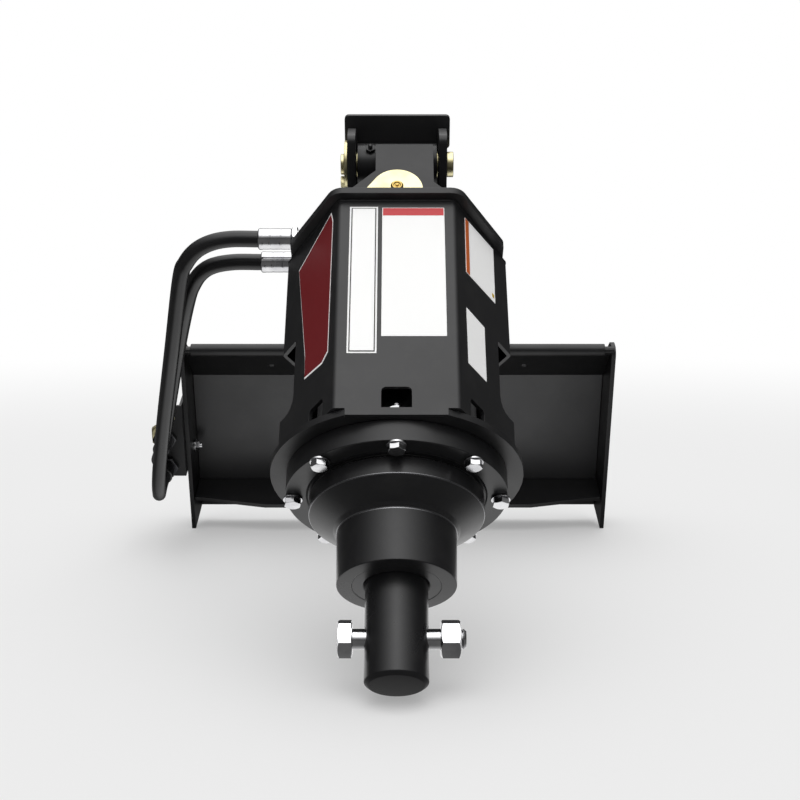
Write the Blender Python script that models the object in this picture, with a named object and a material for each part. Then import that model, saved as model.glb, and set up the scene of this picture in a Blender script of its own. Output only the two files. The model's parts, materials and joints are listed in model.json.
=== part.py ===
"""Earth auger drive for a compact loader: mount plate, boom, two-axis knuckle, hooded planetary drive.

The piece stands on the two lower front tips of its mount plate and on the end of its output shaft.
+X is right, the front faces -Y and +Z is up. The origin is the middle of the mount plate's rear face.
"""
import math

import bmesh
import bpy
from mathutils import Matrix, Vector

MM = 0.001
GAP = 0.3 * MM              # left between two pieces that touch
OVERRUN = 3.0 * MM          # how far a cutter passes the wall it cuts
WIDE_ROUND = 36             # sides of the widest round pieces
ROUND = 24                  # sides of a round piece
SMALL_ROUND = 12            # sides of a small one
BORE_TURN = math.radians(7) # keeps a bore's corners off the seams of the piece it cuts

# Mount plate, measured forward of and up from the lower front tips of its side plates
PLATE_WIDTH = 520.0 * MM
SIDE_WALL = 5.0 * MM
SIDE_DEPTH = 80.0 * MM
SIDE_OVER_LIP = 3.0 * MM    # side plates' tops, above the lip bar's axis
SIDE_OVER_FACE = 8.0 * MM   # and their rear corners, above the face's top
SIDE_TOP_LENGTH = 22.0 * MM
SIDE_CORNER = 11.0 * MM
RECESS = 56.0 * MM          # from the side plates' front edges back to the face
FACE_WALL = 6.0 * MM
FACE_TOP = 188.0 * MM
FACE_LOW = 2.4 * MM
SHELF_TOP = 42.0 * MM
SHELF_WALL = 5.0 * MM
SHELF_END_BACK = 4.7 * MM   # shelf's front edge behind the tips, at its ends
SHELF_NOSE = 12.8 * MM      # and ahead of the tips in its middle
SHELF_END = 10.0 * MM       # straight stretch of its front edge at each end
SHELF_SLOPE = 80.0 * MM     # and the sloping stretch beside it
LIP_R = 7.5 * MM
LIP_BACK = 3.0 * MM
LIP_NECK = 8.5 * MM         # stub on each side plate that carries the lip bar
LIP_NECK_R = 4.5 * MM
FLANGE_RISE = 56.0 * MM     # lip bar's axis above the face's top
FLANGE_WALL = 5.0 * MM
FLANGE_HOLE_LEFT = 154.0 * MM
FLANGE_HOLE_SHARE = 0.41    # holes' place on the flange, from the face to the bar
FLANGE_HOLE_R = 4.5 * MM

# Boom: two cheeks joined by bent plates, carrying the upper pin
PIN_FORWARD = 186.8 * MM
PIN_UP = 525.0 * MM
SWING = math.radians(58.7)  # how far the drive stands forward of hanging
PIN_R = 10.0 * MM
CHEEK_INNER = 40.0 * MM
CHEEK_WALL = 8.0 * MM
NOSE_TOP = 35.0 * MM
NOSE_FRONT = 26.0 * MM
NOSE_DROP = 20.0 * MM
NOSE_FILLET = 8.0 * MM
NOSE_BACK = 3.0 * MM
NOSE_END = -150.0           # where the round nose ends under the arm, in degrees
CAP_BACK = 21.7 * MM        # cap plate's front face, behind the upper pin
CAP_WALL = 6.0 * MM
CAP_LOW = 9.7 * MM
CAP_TOP = 43.1 * MM
CAP_HALF = 51.9 * MM
CAP_CORNER = 4.0 * MM
CAP_STEP = 5.5 * MM         # fall of the cheeks' top edge from the nose to the cap plate
ARM_TOP_DROP = 4.0 * MM     # arm's top edge behind the cap plate, below the plate's top
ARM_FALL_SHARE = 0.325      # fall of the arm's top edge for each unit back
HEEL_BACK = 110.0 * MM      # inner bend of the boom, behind and below the upper pin
HEEL_DOWN = 72.0 * MM
HEEL_FILLET = 30.0 * MM
MAST_BACK = 20.0 * MM       # mast's rear edge, behind the tips
MAST_CORNER = 45.0 * MM
MAST_FRONT = 35.0 * MM
MAST_KNEE_UP = 262.0 * MM
MAST_FOOT = 10.0 * MM
NECK_FRONT = 7.0 * MM       # mast's rear edge where it passes in front of the lip bar
NECK_HALF = 9.0 * MM        # half the height of that notch
NECK_SPREAD = 20.0 * MM
BOOM_WALL = 6.0 * MM
BELLY_START = 62.0 * MM     # first edge of the inner boom plate, behind the upper pin

# Upper pin and what keeps it
FLAG_R = 23.5 * MM
FLAG_WALL = 3.0 * MM
PIN_TAIL = 4.0 * MM
PIN_COLLAR_R = 12.3 * MM
PIN_COLLAR_LENGTH = 6.6 * MM
LOCK_DROP = 17.6 * MM
LOCK_R = 4.0 * MM
LOCK_HEAD_FLATS = 11.0 * MM
LOCK_HEAD = 4.0 * MM
LOCK_DEPTH = 5.0 * MM
WASHER_R = 12.5 * MM
WASHER_WALL = 1.0 * MM

# Knuckle: cross tube on the upper pin, block on the lower pin
TUBE_R = 20.4 * MM
TUBE_HALF = 38.4 * MM
BUSH_R = 13.0 * MM
BUSH_LENGTH = 26.0 * MM
PIN_PITCH = 69.95 * MM
BLOCK_LEFT = 22.0 * MM
BLOCK_RIGHT = 34.6 * MM
BLOCK_HALF = 30.0 * MM
BLOCK_TOP = 1.6 * MM        # block's top face below the upper pin
BLOCK_FOOT = 27.0 * MM      # block's round foot, radius about the lower pin
STOP_LOW = 9.9 * MM
STOP_TOP = 14.1 * MM
STOP_ROOT = 15.0 * MM
STOP_HALF = 18.0 * MM
FITTING_LEFT = 26.0 * MM
FITTING_R = 3.6 * MM
FITTING_LENGTH = 7.0 * MM

# Lower pin and ears
LOWER_PIN_R = 12.0 * MM
LOWER_FLAG_R = 24.1 * MM
LOWER_FLAG_FLAT = 17.0 * MM
LOWER_FLAG_TURN = -35.0     # turn of the flag's flat from level, in degrees
EAR_GAP_HALF = 31.5 * MM
EAR_WALL = 8.0 * MM
EAR_TOP_R = 32.7 * MM
EAR_HALF = 60.0 * MM
EAR_RISE = 56.1 * MM        # lower pin above the rim plate
EAR_SLOPE = 45.0            # slope of the ears' shoulders, in degrees
CLIP_R = 17.0 * MM
CLIP_WALL = 3.0 * MM
CLIP_TAIL = 4.0 * MM
NIPPLE_R = 4.6 * MM
NIPPLE_LENGTH = 6.0 * MM
NIPPLE_SEAT = 4.0 * MM

# Drive, measured up from the underside of its ring plate
RIM_LOW = 222.7 * MM
RIM_WALL = 6.5 * MM
RIM_FRONT = 107.5 * MM
RIM_FRONT_HALF = 55.3 * MM
RIM_HALF = 97.1 * MM
RIM_SIDE_FRONT = 35.1 * MM
RIM_SIDE_BACK = 11.7 * MM
RIM_REAR = 84.1 * MM
RIM_FRONT_R = 15.0 * MM
RIM_SIDE_R = 12.0 * MM
RING_R = 106.6 * MM
RING_WALL = 5.9 * MM
HOOD_FRONT = 99.1 * MM
HOOD_FLATS = 174.7 * MM     # across the flats of the hexagon
HOOD_WALL = 3.4 * MM
HOOD_BEND = 5.0 * MM
HOOD_TAB_HALF = 41.0 * MM   # front wall's tab, which drops into the ring plate's slot
NOTCH_HALF = 22.8 * MM      # notch over each of the hood's side corners
NOTCH_TOP = 117.5 * MM
NOTCH_TOP_R = 3.0 * MM
NOTCH_LOW = 47.0 * MM
NOTCH_LOW_R = 13.0 * MM
WINDOW_HALF = 12.1 * MM
WINDOW_LOW = 7.2 * MM
WINDOW_TOP = 26.4 * MM
WINDOW_CORNER = 4.0 * MM
WINDOW_SHIFT = 20.4 * MM    # side windows' middles, from their walls' middles to the front

# Gearbox
FLANGE_R = 92.9 * MM
FLANGE_LOW = 19.5 * MM
BOSS_R = 73.15 * MM
BOSS_GROOVE = 2.2 * MM
BOSS_GROOVE_R = 70.5 * MM
BOSS_LOW = 37.6 * MM
CONE_LOW = 52.4 * MM
COLLAR_ROOT_R = 49.5 * MM
COLLAR_R = 48.7 * MM
COLLAR_LOW = 100.6 * MM
COLLAR_EDGE = 1.2 * MM
CASE_R = 69.0 * MM
CASE_FOOT_R = 80.0 * MM
CASE_FOOT = 6.0 * MM
CASE_TOP = 76.0 * MM
CASE_LID = 7.0 * MM
CASE_BORE_R = 11.0 * MM
MODULE = 2.5 * MM
SUN_TEETH = 12
PLANET_TEETH = 18
RING_TEETH = SUN_TEETH + 2 * PLANET_TEETH
PLANETS = 3
PRESSURE = math.radians(24.0)
ADDENDUM_SHARE = 0.82
DEDENDUM_SHARE = 1.15
BACKLASH = 0.36 * MM        # taken off each tooth at the pitch circle
GEAR_LOW = 42.0 * MM
GEAR_WIDTH = 20.0 * MM
PLANET_PIN_R = 6.0 * MM
SUN_SHAFT_R = 8.0 * MM
SUN_SHAFT_TOP = 92.0 * MM
CARRIER_R = 52.0 * MM
CARRIER_LOW = 20.0 * MM
CARRIER_TOP = 40.0 * MM
CAVITY_R = 56.0 * MM
BEARING_R = 40.0 * MM
BEARING_TOP = 60.0 * MM     # below the ring plate's underside, as the collar is
BEARING_WIDTH = 22.0 * MM
SEAL_R = 36.0 * MM
SEAL_WIDTH = 9.0 * MM
BOLT_CIRCLE_R = 86.8 * MM
BOLTS = 8
BOLT_R = 3.95 * MM
BOLT_FLATS = 12.7 * MM
BOLT_HEAD = 5.3 * MM
BOLT_WASHER_R = 8.15 * MM
BOLT_WASHER = 1.6 * MM
BOLT_NUT = 6.7 * MM

# Hydraulic motor inside the hood
MOTOR_FLANGE_R = 58.0 * MM
MOTOR_FLANGE = 13.0 * MM
MOTOR_R = 47.0 * MM
MOTOR_STEP_R = 52.0 * MM
MOTOR_TOP = 205.0 * MM
MOTOR_STEP_SHARES = (0.22, 0.42, 0.52, 0.78)
MOTOR_BORE = 14.0 * MM

# Output shaft and its cross bolt
SHAFT_R = 25.4 * MM
SHAFT_END = 184.8 * MM
SHAFT_CHAMFER = 1.0 * MM
SHAFT_CHAMFER_LENGTH = 1.0 * MM
CROSS_UP = 38.9 * MM        # cross hole above the shaft's end
CROSS_R = 8.0 * MM
CROSS_SINK = 2.5 * MM
CROSS_FLATS = 27.4 * MM
CROSS_HEAD = 11.8 * MM
CROSS_HEAD_INNER = 34.7 * MM
CROSS_NUT = 15.9 * MM
CROSS_TAIL = 54.8 * MM
CROSS_TURN = 24.0           # turn of the bolt's and nut's flats, in degrees

# Hose ports, hoses and couplers
PORT_LEFT = 78.0 * MM
PORT_UP = 250.0 * MM
PORT_PLACES = (("front", 12.7 * MM), ("rear", -21.4 * MM))
PORT_R = 8.2 * MM
PORT_BEND = 11.0 * MM
PORT_FOOT = 7.0 * MM
PORT_FLATS = 21.0 * MM
SWIVEL_LEFT = 94.0 * MM
SWIVEL_LENGTH = 4.0 * MM
FERRULE_LEFT = 129.3 * MM
FERRULE_R = 10.0 * MM
FERRULE_EDGE = 1.2 * MM
HOSE_R = 7.8 * MM
BRACKET_FRONT = 12.0 * MM
BRACKET_WALL = 3.0 * MM
BRACKET_WIDTH = 33.5 * MM
BRACKET_LOW = 82.0 * MM
BRACKET_TOP = 177.5 * MM
BRACKET_BACK = 58.0 * MM
BRACKET_CORNER = 7.0 * MM
BRACKET_SHOULDER = 156.0 * MM
BRACKET_SHOULDER_R = 12.0 * MM
BRACKET_TAB = 9.0 * MM
BRACKET_TAB_R = 4.0 * MM
BRACKET_BOLT_BACK = 35.0 * MM
BRACKET_BOLT_UP = 100.0 * MM
BRACKET_BOLT_R = 4.0 * MM
BRACKET_BOLT_FLATS = 12.7 * MM
BRACKET_BOLT_HEAD = 5.0 * MM
COUPLER_LEFT = 22.6 * MM    # couplers' axes, out from the side plate
COUPLER_PLACES = (("lower", 96.0 * MM, 40.0 * MM), ("upper", 134.5 * MM, 45.0 * MM))
COUPLER_THREAD_R = 8.5 * MM
COUPLER_FLATS = 33.0 * MM
COUPLER_NUT_FLATS = 25.0 * MM
COUPLER_NUT = 7.0 * MM
COUPLER_NECK = 9.0 * MM
COUPLER_BODY = 26.0 * MM
COUPLER_SLEEVE_R = 11.5 * MM
COUPLER_SLEEVE = 24.0 * MM

# Routes of the two hoses: right, forward and up from the plate's tips, chosen by hand
HOSE_FRONT_ROUTE = (
    (-0.1296, 0.2834, 0.4811), (-0.155, 0.2834, 0.4811), (-0.173, 0.284, 0.478), (-0.188, 0.283, 0.470),
    (-0.199, 0.281, 0.457), (-0.2065, 0.275, 0.438), (-0.226, 0.236, 0.350), (-0.2485, 0.188, 0.250),
    (-0.2630, 0.157, 0.180), (-0.2702, 0.138, 0.142), (-0.2752, 0.115, 0.116), (-0.2802, 0.088, 0.100),
    (-0.2826, 0.0600, 0.096), (-0.2826, 0.0406, 0.096))
HOSE_REAR_ROUTE = (
    (-0.1296, 0.2657, 0.4520), (-0.155, 0.2657, 0.4520), (-0.175, 0.264, 0.448), (-0.188, 0.259, 0.439),
    (-0.198, 0.250, 0.424), (-0.2065, 0.239, 0.403), (-0.2250, 0.200, 0.340), (-0.2462, 0.161, 0.257),
    (-0.2590, 0.135, 0.205), (-0.2695, 0.110, 0.168), (-0.2785, 0.086, 0.144), (-0.2826, 0.0650, 0.1345),
    (-0.2826, 0.0456, 0.1345))
HOSE_STEPS = 3              # points of the tube for each stretch of its route

# Worked out from the sizes above
RIM_TOP = RIM_LOW + RIM_WALL
LOWER_PIN_UP = RIM_TOP + EAR_RISE
LIP_UP = FACE_TOP + FLANGE_RISE
PIN_TO_RING = LOWER_PIN_UP + PIN_PITCH
HOOD_MIDDLE = HOOD_FRONT - HOOD_FLATS / 2
HOOD_CORNER_R = HOOD_FLATS / math.sqrt(3)
SUN_PITCH_R = MODULE * SUN_TEETH / 2
PLANET_PITCH_R = MODULE * PLANET_TEETH / 2
RING_PITCH_R = MODULE * RING_TEETH / 2
PLANET_DISTANCE = SUN_PITCH_R + PLANET_PITCH_R
CROSS_LEVEL = CROSS_UP - SHAFT_END
CHEEK_OUTER = CHEEK_INNER + CHEEK_WALL
SIDE_INNER = PLATE_WIDTH / 2 - SIDE_WALL
SHELF_END_HALF = SIDE_INNER - SHELF_END
COUPLER_X = -(PLATE_WIDTH / 2 + COUPLER_LEFT)
FACE_MIDDLE = (FACE_TOP + SHELF_TOP) / 2


def clear_scene():
    """Removes what the file holds before the model is made."""
    for old in list(bpy.data.objects):
        bpy.data.objects.remove(old, do_unlink=True)


def finish(name, colour, roughness, metallic):
    """Plain material of one finish."""
    material = bpy.data.materials.new(name)
    material.use_nodes = True
    shader = material.node_tree.nodes["Principled BSDF"]
    shader.inputs["Base Color"].default_value = (*colour, 1.0)
    shader.inputs["Roughness"].default_value = roughness
    shader.inputs["Metallic"].default_value = metallic
    material.diffuse_color = (*colour, 1.0)
    return material


def axis_empty(name, parent, location, turn):
    """Empty on an axis, turned about X."""
    empty = bpy.data.objects.new(name, None)
    bpy.context.collection.objects.link(empty)
    empty.parent = parent
    empty.location = location
    empty.rotation_euler = (turn, 0.0, 0.0)
    return empty


def add_piece(name, bm, parent, material, smooth=False):
    """Makes an object of a closed bmesh and hangs it under its parent."""
    bmesh.ops.recalc_face_normals(bm, faces=bm.faces)
    mesh = bpy.data.meshes.new(name)
    bm.to_mesh(mesh)
    bm.free()
    if smooth:
        mesh.shade_smooth()
        mesh.set_sharp_from_angle(angle=math.radians(35))
    piece = bpy.data.objects.new(name, mesh)
    bpy.context.collection.objects.link(piece)
    piece.parent = parent
    if material:
        mesh.materials.append(material)
    return piece


def combine(piece, other, operation):
    """Cuts or joins a piece with a guide shape, which stays hidden."""
    other.hide_render = True
    other.display_type = 'WIRE'
    other.parent = piece.parent
    modifier = piece.modifiers.new(other.name, 'BOOLEAN')
    modifier.operation = operation
    modifier.object = other


def cut(piece, *cutters):
    for cutter in cutters:
        combine(piece, cutter, 'DIFFERENCE')


def join(piece, *additions):
    for addition in additions:
        combine(piece, addition, 'UNION')


TURNS = {
    "x": Matrix(((0, 0, 1), (1, 0, 0), (0, 1, 0))).to_4x4(),    # outline y, z; thickness along x
    "y": Matrix(((1, 0, 0), (0, 0, 1), (0, 1, 0))).to_4x4(),    # outline x, z; thickness along y
    "z": Matrix.Identity(4),
}


def prism_mesh(outline, low, high, axis):
    """Closed bmesh: an outline given a thickness from low to high along an axis."""
    bm = bmesh.new()
    face = bm.faces.new([bm.verts.new((a, b, low)) for a, b in outline])
    raised = bmesh.ops.extrude_face_region(bm, geom=[face])["geom"]
    verts = [item for item in raised if isinstance(item, bmesh.types.BMVert)]
    bmesh.ops.translate(bm, vec=(0.0, 0.0, high - low), verts=verts)
    bmesh.ops.transform(bm, matrix=TURNS[axis], verts=bm.verts)
    return bm


def prism(name, outline, low, high, axis, parent=None, material=None, smooth=False):
    return add_piece(name, prism_mesh(outline, low, high, axis), parent, material, smooth)


def turned_mesh(profile, axis, steps):
    """Closed bmesh: a profile of radius and height spun about an axis."""
    bm = bmesh.new()
    verts = [bm.verts.new((radius, 0.0, height)) for radius, height in profile]
    edges = [bm.edges.new((verts[i - 1], verts[i])) for i in range(len(verts))]
    bmesh.ops.spin(bm, geom=verts + edges, cent=(0, 0, 0), axis=(0, 0, 1), angle=math.tau,
                   steps=steps, use_merge=True)
    bmesh.ops.remove_doubles(bm, verts=bm.verts, dist=MM / 100)
    loose = [edge for edge in bm.edges if not edge.link_faces]
    bmesh.ops.delete(bm, geom=loose, context='EDGES')
    flat = [face for face in bm.faces if face.calc_area() < MM * MM / 10000]
    if flat:
        bmesh.ops.delete(bm, geom=flat, context='FACES')
    bmesh.ops.transform(bm, matrix=TURNS[axis], verts=bm.verts)
    return bm


def turned(name, profile, axis, parent=None, material=None, at=(0, 0, 0), steps=ROUND, turn=0.0):
    bm = turned_mesh(profile, axis, steps)
    if turn:
        spindle = axis.upper()
        bmesh.ops.rotate(bm, cent=(0, 0, 0), matrix=Matrix.Rotation(turn, 3, spindle), verts=bm.verts)
    bmesh.ops.translate(bm, vec=at, verts=bm.verts)
    return add_piece(name, bm, parent, material, smooth=True)


def tube_profile(inner, outer, low, high):
    return [(outer, high), (outer, low), (inner, low), (inner, high)]


def rod_profile(radius, low, high, edge=0.0):
    """Solid round bar, with chamfered rims where an edge is given."""
    if not edge:
        return [(0.0, high), (radius, high), (radius, low), (0.0, low)]
    return [(0.0, high), (radius - edge, high), (radius, high - edge),
            (radius, low + edge), (radius - edge, low), (0.0, low)]


def arc(centre, radius, start, end, steps):
    """Points of an arc, from the start to the end angle in degrees."""
    angles = [math.radians(start + (end - start) * i / steps) for i in range(steps + 1)]
    return [(centre[0] + radius * math.cos(a), centre[1] + radius * math.sin(a)) for a in angles]


def rounded(corners, steps=4):
    """Outline through corners of x, y and radius, each rounded by its radius."""
    outline = []
    for i, (x, y, radius) in enumerate(corners):
        corner = Vector((x, y))
        before = Vector(corners[i - 1][:2]) - corner
        after = Vector(corners[(i + 1) % len(corners)][:2]) - corner
        if not radius:
            outline.append((x, y))
            continue
        half = before.angle(after) / 2
        reach = radius / math.tan(half)
        centre = corner + (before.normalized() + after.normalized()).normalized() * radius / math.sin(half)
        first = corner + before.normalized() * reach - centre
        last = corner + after.normalized() * reach - centre
        turn = first.angle_signed(last)
        for step in range(steps + 1):
            spoke = first.copy()
            spoke.rotate(Matrix.Rotation(-turn * step / steps, 2))
            outline.append(tuple(centre + spoke))
    return outline


def hexagon(flats, centre=(0.0, 0.0), turn=0.0):
    """Six corners, with a corner on the first axis unless turned."""
    radius = flats / math.sqrt(3)
    return [(centre[0] + radius * math.cos(math.radians(turn + 60 * i)),
             centre[1] + radius * math.sin(math.radians(turn + 60 * i))) for i in range(6)]


def bent_plate(path, wall, half, parent, name, material):
    """Plate of even wall that follows a path of y and z, its wall on the path's left."""
    near = [Vector(point) for point in path]
    far = []
    for i, point in enumerate(near):
        sides = []
        if i > 0:
            sides.append((point - near[i - 1]).normalized())
        if i < len(near) - 1:
            sides.append((near[i + 1] - point).normalized())
        normals = [Vector((-side.y, side.x)) for side in sides]
        middle = sum(normals, Vector((0.0, 0.0))).normalized()
        far.append(point + middle * wall / middle.dot(normals[0]))
    outline = [tuple(point) for point in near] + [tuple(point) for point in reversed(far)]
    return prism(name, outline, -half, half, "x", parent, material)


def forward(points):
    """Turns points of forward and up into y and z."""
    return [(-point[0], *point[1:]) for point in points]


def plate_point(y, z):
    """Forward and up, from the plate's tips, of a point given from the upper pin in the drive's frame."""
    ahead = PIN_FORWARD - y * math.cos(SWING) - z * math.sin(SWING)
    above = PIN_UP - y * math.sin(SWING) + z * math.cos(SWING)
    return ahead, above


def lean_angle():
    """Lean of the whole assembly, so that the shaft's end meets the floor that the tips stand on."""
    end = -(PIN_TO_RING + SHAFT_END)
    corners = ((SHAFT_R - SHAFT_CHAMFER, end), (SHAFT_R, end + SHAFT_CHAMFER_LENGTH))
    spots = [plate_point(y, z) for y, z in corners]
    return min(math.atan2(above, ahead) for ahead, above in spots)


def make_axes():
    """Empties on the joints' axes, from the mount plate down to the gears."""
    lean = lean_angle()
    mount = Vector((0.0, RECESS + FACE_WALL, FACE_MIDDLE))
    mount.rotate(Matrix.Rotation(lean, 3, 'X'))
    axes = {"frame": axis_empty("frame_axis", None, -mount, lean)}
    axes["knuckle"] = axis_empty("knuckle_axis", axes["frame"], (0.0, -PIN_FORWARD, PIN_UP), -SWING)
    axes["pin"] = axis_empty("lower_pin_axis", axes["knuckle"], (0.0, 0.0, -PIN_PITCH), 0.0)
    axes["drive"] = axis_empty("drive_axis", axes["pin"], (0.0, 0.0, -LOWER_PIN_UP), 0.0)
    axes["shaft"] = axis_empty("shaft_axis", axes["drive"], (0.0, 0.0, 0.0), 0.0)
    for i in range(PLANETS):
        angle = math.tau * i / PLANETS
        place = (PLANET_DISTANCE * math.cos(angle), PLANET_DISTANCE * math.sin(angle), GEAR_LOW)
        axes[f"planet_{i + 1}"] = axis_empty(f"planet_{i + 1}_axis", axes["shaft"], place, 0.0)
    axes["sun"] = axis_empty("sun_axis", axes["drive"], (0.0, 0.0, GEAR_LOW), 0.0)
    return axes


def side_plates(frame, paint):
    """End plates, each with a stub inside that carries the lip bar."""
    top = LIP_UP + SIDE_OVER_LIP
    corners = forward([
        (0.0, 0.0, 0.0), (0.0, top, SIDE_CORNER), (-SIDE_TOP_LENGTH, top, SIDE_CORNER),
        (-SIDE_DEPTH, FACE_TOP + SIDE_OVER_FACE, SIDE_CORNER), (-SIDE_DEPTH, 0.0, 0.0)])
    outline = rounded(corners)
    for side, sign in (("left", -1), ("right", 1)):
        low, high = sorted((sign * SIDE_INNER, sign * PLATE_WIDTH / 2))
        plate = prism(f"side_plate_{side}", outline, low, high, "x", frame, paint)
        low, high = sorted((sign * (SIDE_INNER - LIP_NECK), sign * (SIDE_INNER + SIDE_WALL / 2)))
        join(plate, turned(f"lip_neck_{side}", rod_profile(LIP_NECK_R, low, high), "x",
                           at=(0.0, LIP_BACK, LIP_UP), steps=SMALL_ROUND))
        if side == "left":
            bore = rod_profile(BRACKET_BOLT_R + GAP, -PLATE_WIDTH / 2 - OVERRUN, -SIDE_INNER + OVERRUN)
            cut(plate, turned("bracket_bore", bore, "x", at=(0.0, BRACKET_BOLT_BACK, BRACKET_BOLT_UP),
                              steps=SMALL_ROUND))


def mount_face(frame, paint):
    outline = forward([(-RECESS, FACE_LOW), (-RECESS, FACE_TOP),
                       (-RECESS - FACE_WALL, FACE_TOP), (-RECESS - FACE_WALL, FACE_LOW)])
    half = SIDE_INNER - GAP
    prism("mount_face", outline, -half, half, "x", frame, paint)


def top_flange(frame, paint):
    """Sloping flange from the face's top edge up to the lip bar, with two round holes."""
    foot = Vector((-RECESS, FACE_TOP + GAP))
    bar = Vector((-LIP_BACK, LIP_UP))
    along = (bar - foot).normalized()
    across = Vector((-along.y, along.x))
    under = bar - along * (LIP_R + GAP) - across * FLANGE_WALL / 2
    over = bar - along * (LIP_R + GAP) + across * FLANGE_WALL / 2
    outline = forward([tuple(foot), tuple(under), tuple(over), (-RECESS - FACE_WALL, FACE_TOP + GAP)])
    half = SIDE_INNER - GAP
    flange = prism("top_flange", outline, -half, half, "x", frame, paint)
    spot = foot.lerp(bar, FLANGE_HOLE_SHARE)
    lean = math.atan2(along.x, along.y)
    for side, sign in (("left", -1), ("right", 1)):
        bm = turned_mesh(rod_profile(FLANGE_HOLE_R, -FLANGE_WALL - OVERRUN, FLANGE_WALL + OVERRUN), "y",
                         SMALL_ROUND)
        bmesh.ops.rotate(bm, cent=(0, 0, 0), matrix=Matrix.Rotation(lean, 3, 'X'), verts=bm.verts)
        bmesh.ops.translate(bm, vec=(sign * FLANGE_HOLE_LEFT, -spot.x, spot.y), verts=bm.verts)
        cut(flange, add_piece(f"flange_hole_{side}", bm, None, None))
    bar_half = SIDE_INNER - LIP_NECK - GAP
    turned("lip_bar", rod_profile(LIP_R, -bar_half, bar_half), "x", frame, paint,
           at=(0.0, LIP_BACK, LIP_UP), steps=ROUND)


def bottom_shelf(frame, paint):
    """Shelf in front of the face; its front edge juts out in the middle."""
    back = RECESS - GAP
    half = SIDE_INNER - GAP
    nose_half = SHELF_END_HALF - SHELF_SLOPE
    outline = [(-half, back), (-half, SHELF_END_BACK), (-SHELF_END_HALF, SHELF_END_BACK),
               (-nose_half, -SHELF_NOSE), (nose_half, -SHELF_NOSE),
               (SHELF_END_HALF, SHELF_END_BACK), (half, SHELF_END_BACK), (half, back)]
    prism("bottom_shelf", outline, SHELF_TOP - SHELF_WALL, SHELF_TOP, "z", frame, paint)


def arm_top(ahead):
    """Height of the arm's top edge at a place forward of the tips."""
    start = PIN_FORWARD - CAP_BACK - CAP_WALL
    return PIN_UP + CAP_TOP - ARM_TOP_DROP - ARM_FALL_SHARE * (start - ahead)


def cheek_outline():
    """Gooseneck outline of forward and up, from the nose under the arm to the mast and back."""
    start = math.degrees(math.atan2(-NOSE_DROP, NOSE_FRONT))
    nose_r = math.hypot(NOSE_FRONT, NOSE_DROP)
    nose = [(x, y, 0.0) for x, y in arc((PIN_FORWARD, PIN_UP), nose_r, start, NOSE_END, 10)]
    notch_ahead = -RECESS + (LIP_UP - NECK_SPREAD / 2 - FACE_TOP)
    cap_rear = PIN_FORWARD - CAP_BACK - CAP_WALL - GAP
    return [
        (PIN_FORWARD + NOSE_FRONT, PIN_UP + NOSE_TOP, NOSE_FILLET), *nose,
        (PIN_FORWARD - HEEL_BACK, PIN_UP - HEEL_DOWN, HEEL_FILLET),
        (MAST_FRONT, MAST_KNEE_UP, HEEL_FILLET), (MAST_FOOT, SHELF_TOP + GAP, 0.0),
        (-RECESS + GAP, SHELF_TOP + GAP, 0.0), (-RECESS + GAP, FACE_TOP - FLANGE_WALL, 0.0),
        (notch_ahead - FLANGE_WALL, LIP_UP - NECK_SPREAD, 0.0), (NECK_FRONT, LIP_UP - NECK_HALF, 0.0),
        (NECK_FRONT, LIP_UP + NECK_HALF, 0.0), (-MAST_BACK, LIP_UP + NECK_HALF + NECK_SPREAD, 0.0),
        (-MAST_BACK, arm_top(-MAST_BACK), MAST_CORNER), (cap_rear, arm_top(cap_rear), 0.0),
        (cap_rear, PIN_UP + CAP_LOW - GAP, 0.0),
        (PIN_FORWARD - CAP_BACK + GAP, PIN_UP + CAP_LOW - GAP, 0.0),
        (PIN_FORWARD - CAP_BACK + GAP, PIN_UP + NOSE_TOP - CAP_STEP, 0.0),
        (PIN_FORWARD - NOSE_BACK, PIN_UP + NOSE_TOP, 0.0)]


def boom(frame, paint):
    outline = rounded(forward(cheek_outline()))
    for side, sign in (("left", -1), ("right", 1)):
        low, high = sorted((sign * CHEEK_INNER, sign * CHEEK_OUTER))
        cheek = prism(f"boom_cheek_{side}", outline, low, high, "x", frame, paint)
        bore = rod_profile(PIN_R + GAP, low - OVERRUN, high + OVERRUN)
        cut(cheek, turned(f"cheek_bore_{side}", bore, "x", at=(0.0, -PIN_FORWARD, PIN_UP)))
        if side == "left":
            tapped = rod_profile(LOCK_R + GAP, low - OVERRUN, low + LOCK_DEPTH + GAP)
            cut(cheek, turned("lock_bore", tapped, "x", at=(0.0, -PIN_FORWARD, PIN_UP - LOCK_DROP),
                              steps=SMALL_ROUND))
    half = CHEEK_INNER - GAP
    heel = (PIN_FORWARD - HEEL_BACK, PIN_UP - HEEL_DOWN)
    nose_r = math.hypot(NOSE_FRONT, NOSE_DROP)
    root = arc((PIN_FORWARD, PIN_UP), nose_r, NOSE_END, NOSE_END, 1)[0]
    share = (BELLY_START - (PIN_FORWARD - root[0])) / (root[0] - heel[0])
    start = (root[0] + (heel[0] - root[0]) * share, root[1] + (heel[1] - root[1]) * share)
    belly = forward([start, heel, (MAST_FRONT, MAST_KNEE_UP), (MAST_FOOT, SHELF_TOP + GAP)])
    bent_plate(belly, BOOM_WALL, half, frame, "boom_belly_plate", paint)
    cap_rear = PIN_FORWARD - CAP_BACK - CAP_WALL - GAP
    corner = MAST_CORNER * (1 - math.sqrt(0.5))
    spine = forward([
        (-MAST_BACK, LIP_UP + NECK_HALF + NECK_SPREAD), (-MAST_BACK, arm_top(-MAST_BACK) - MAST_CORNER),
        (-MAST_BACK + corner, arm_top(-MAST_BACK) - corner),
        (-MAST_BACK + MAST_CORNER, arm_top(-MAST_BACK + MAST_CORNER)),
        (cap_rear - ARM_FALL_SHARE * BOOM_WALL, arm_top(cap_rear - ARM_FALL_SHARE * BOOM_WALL))])
    bent_plate(spine, BOOM_WALL, half, frame, "boom_spine_plate", paint)


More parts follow.
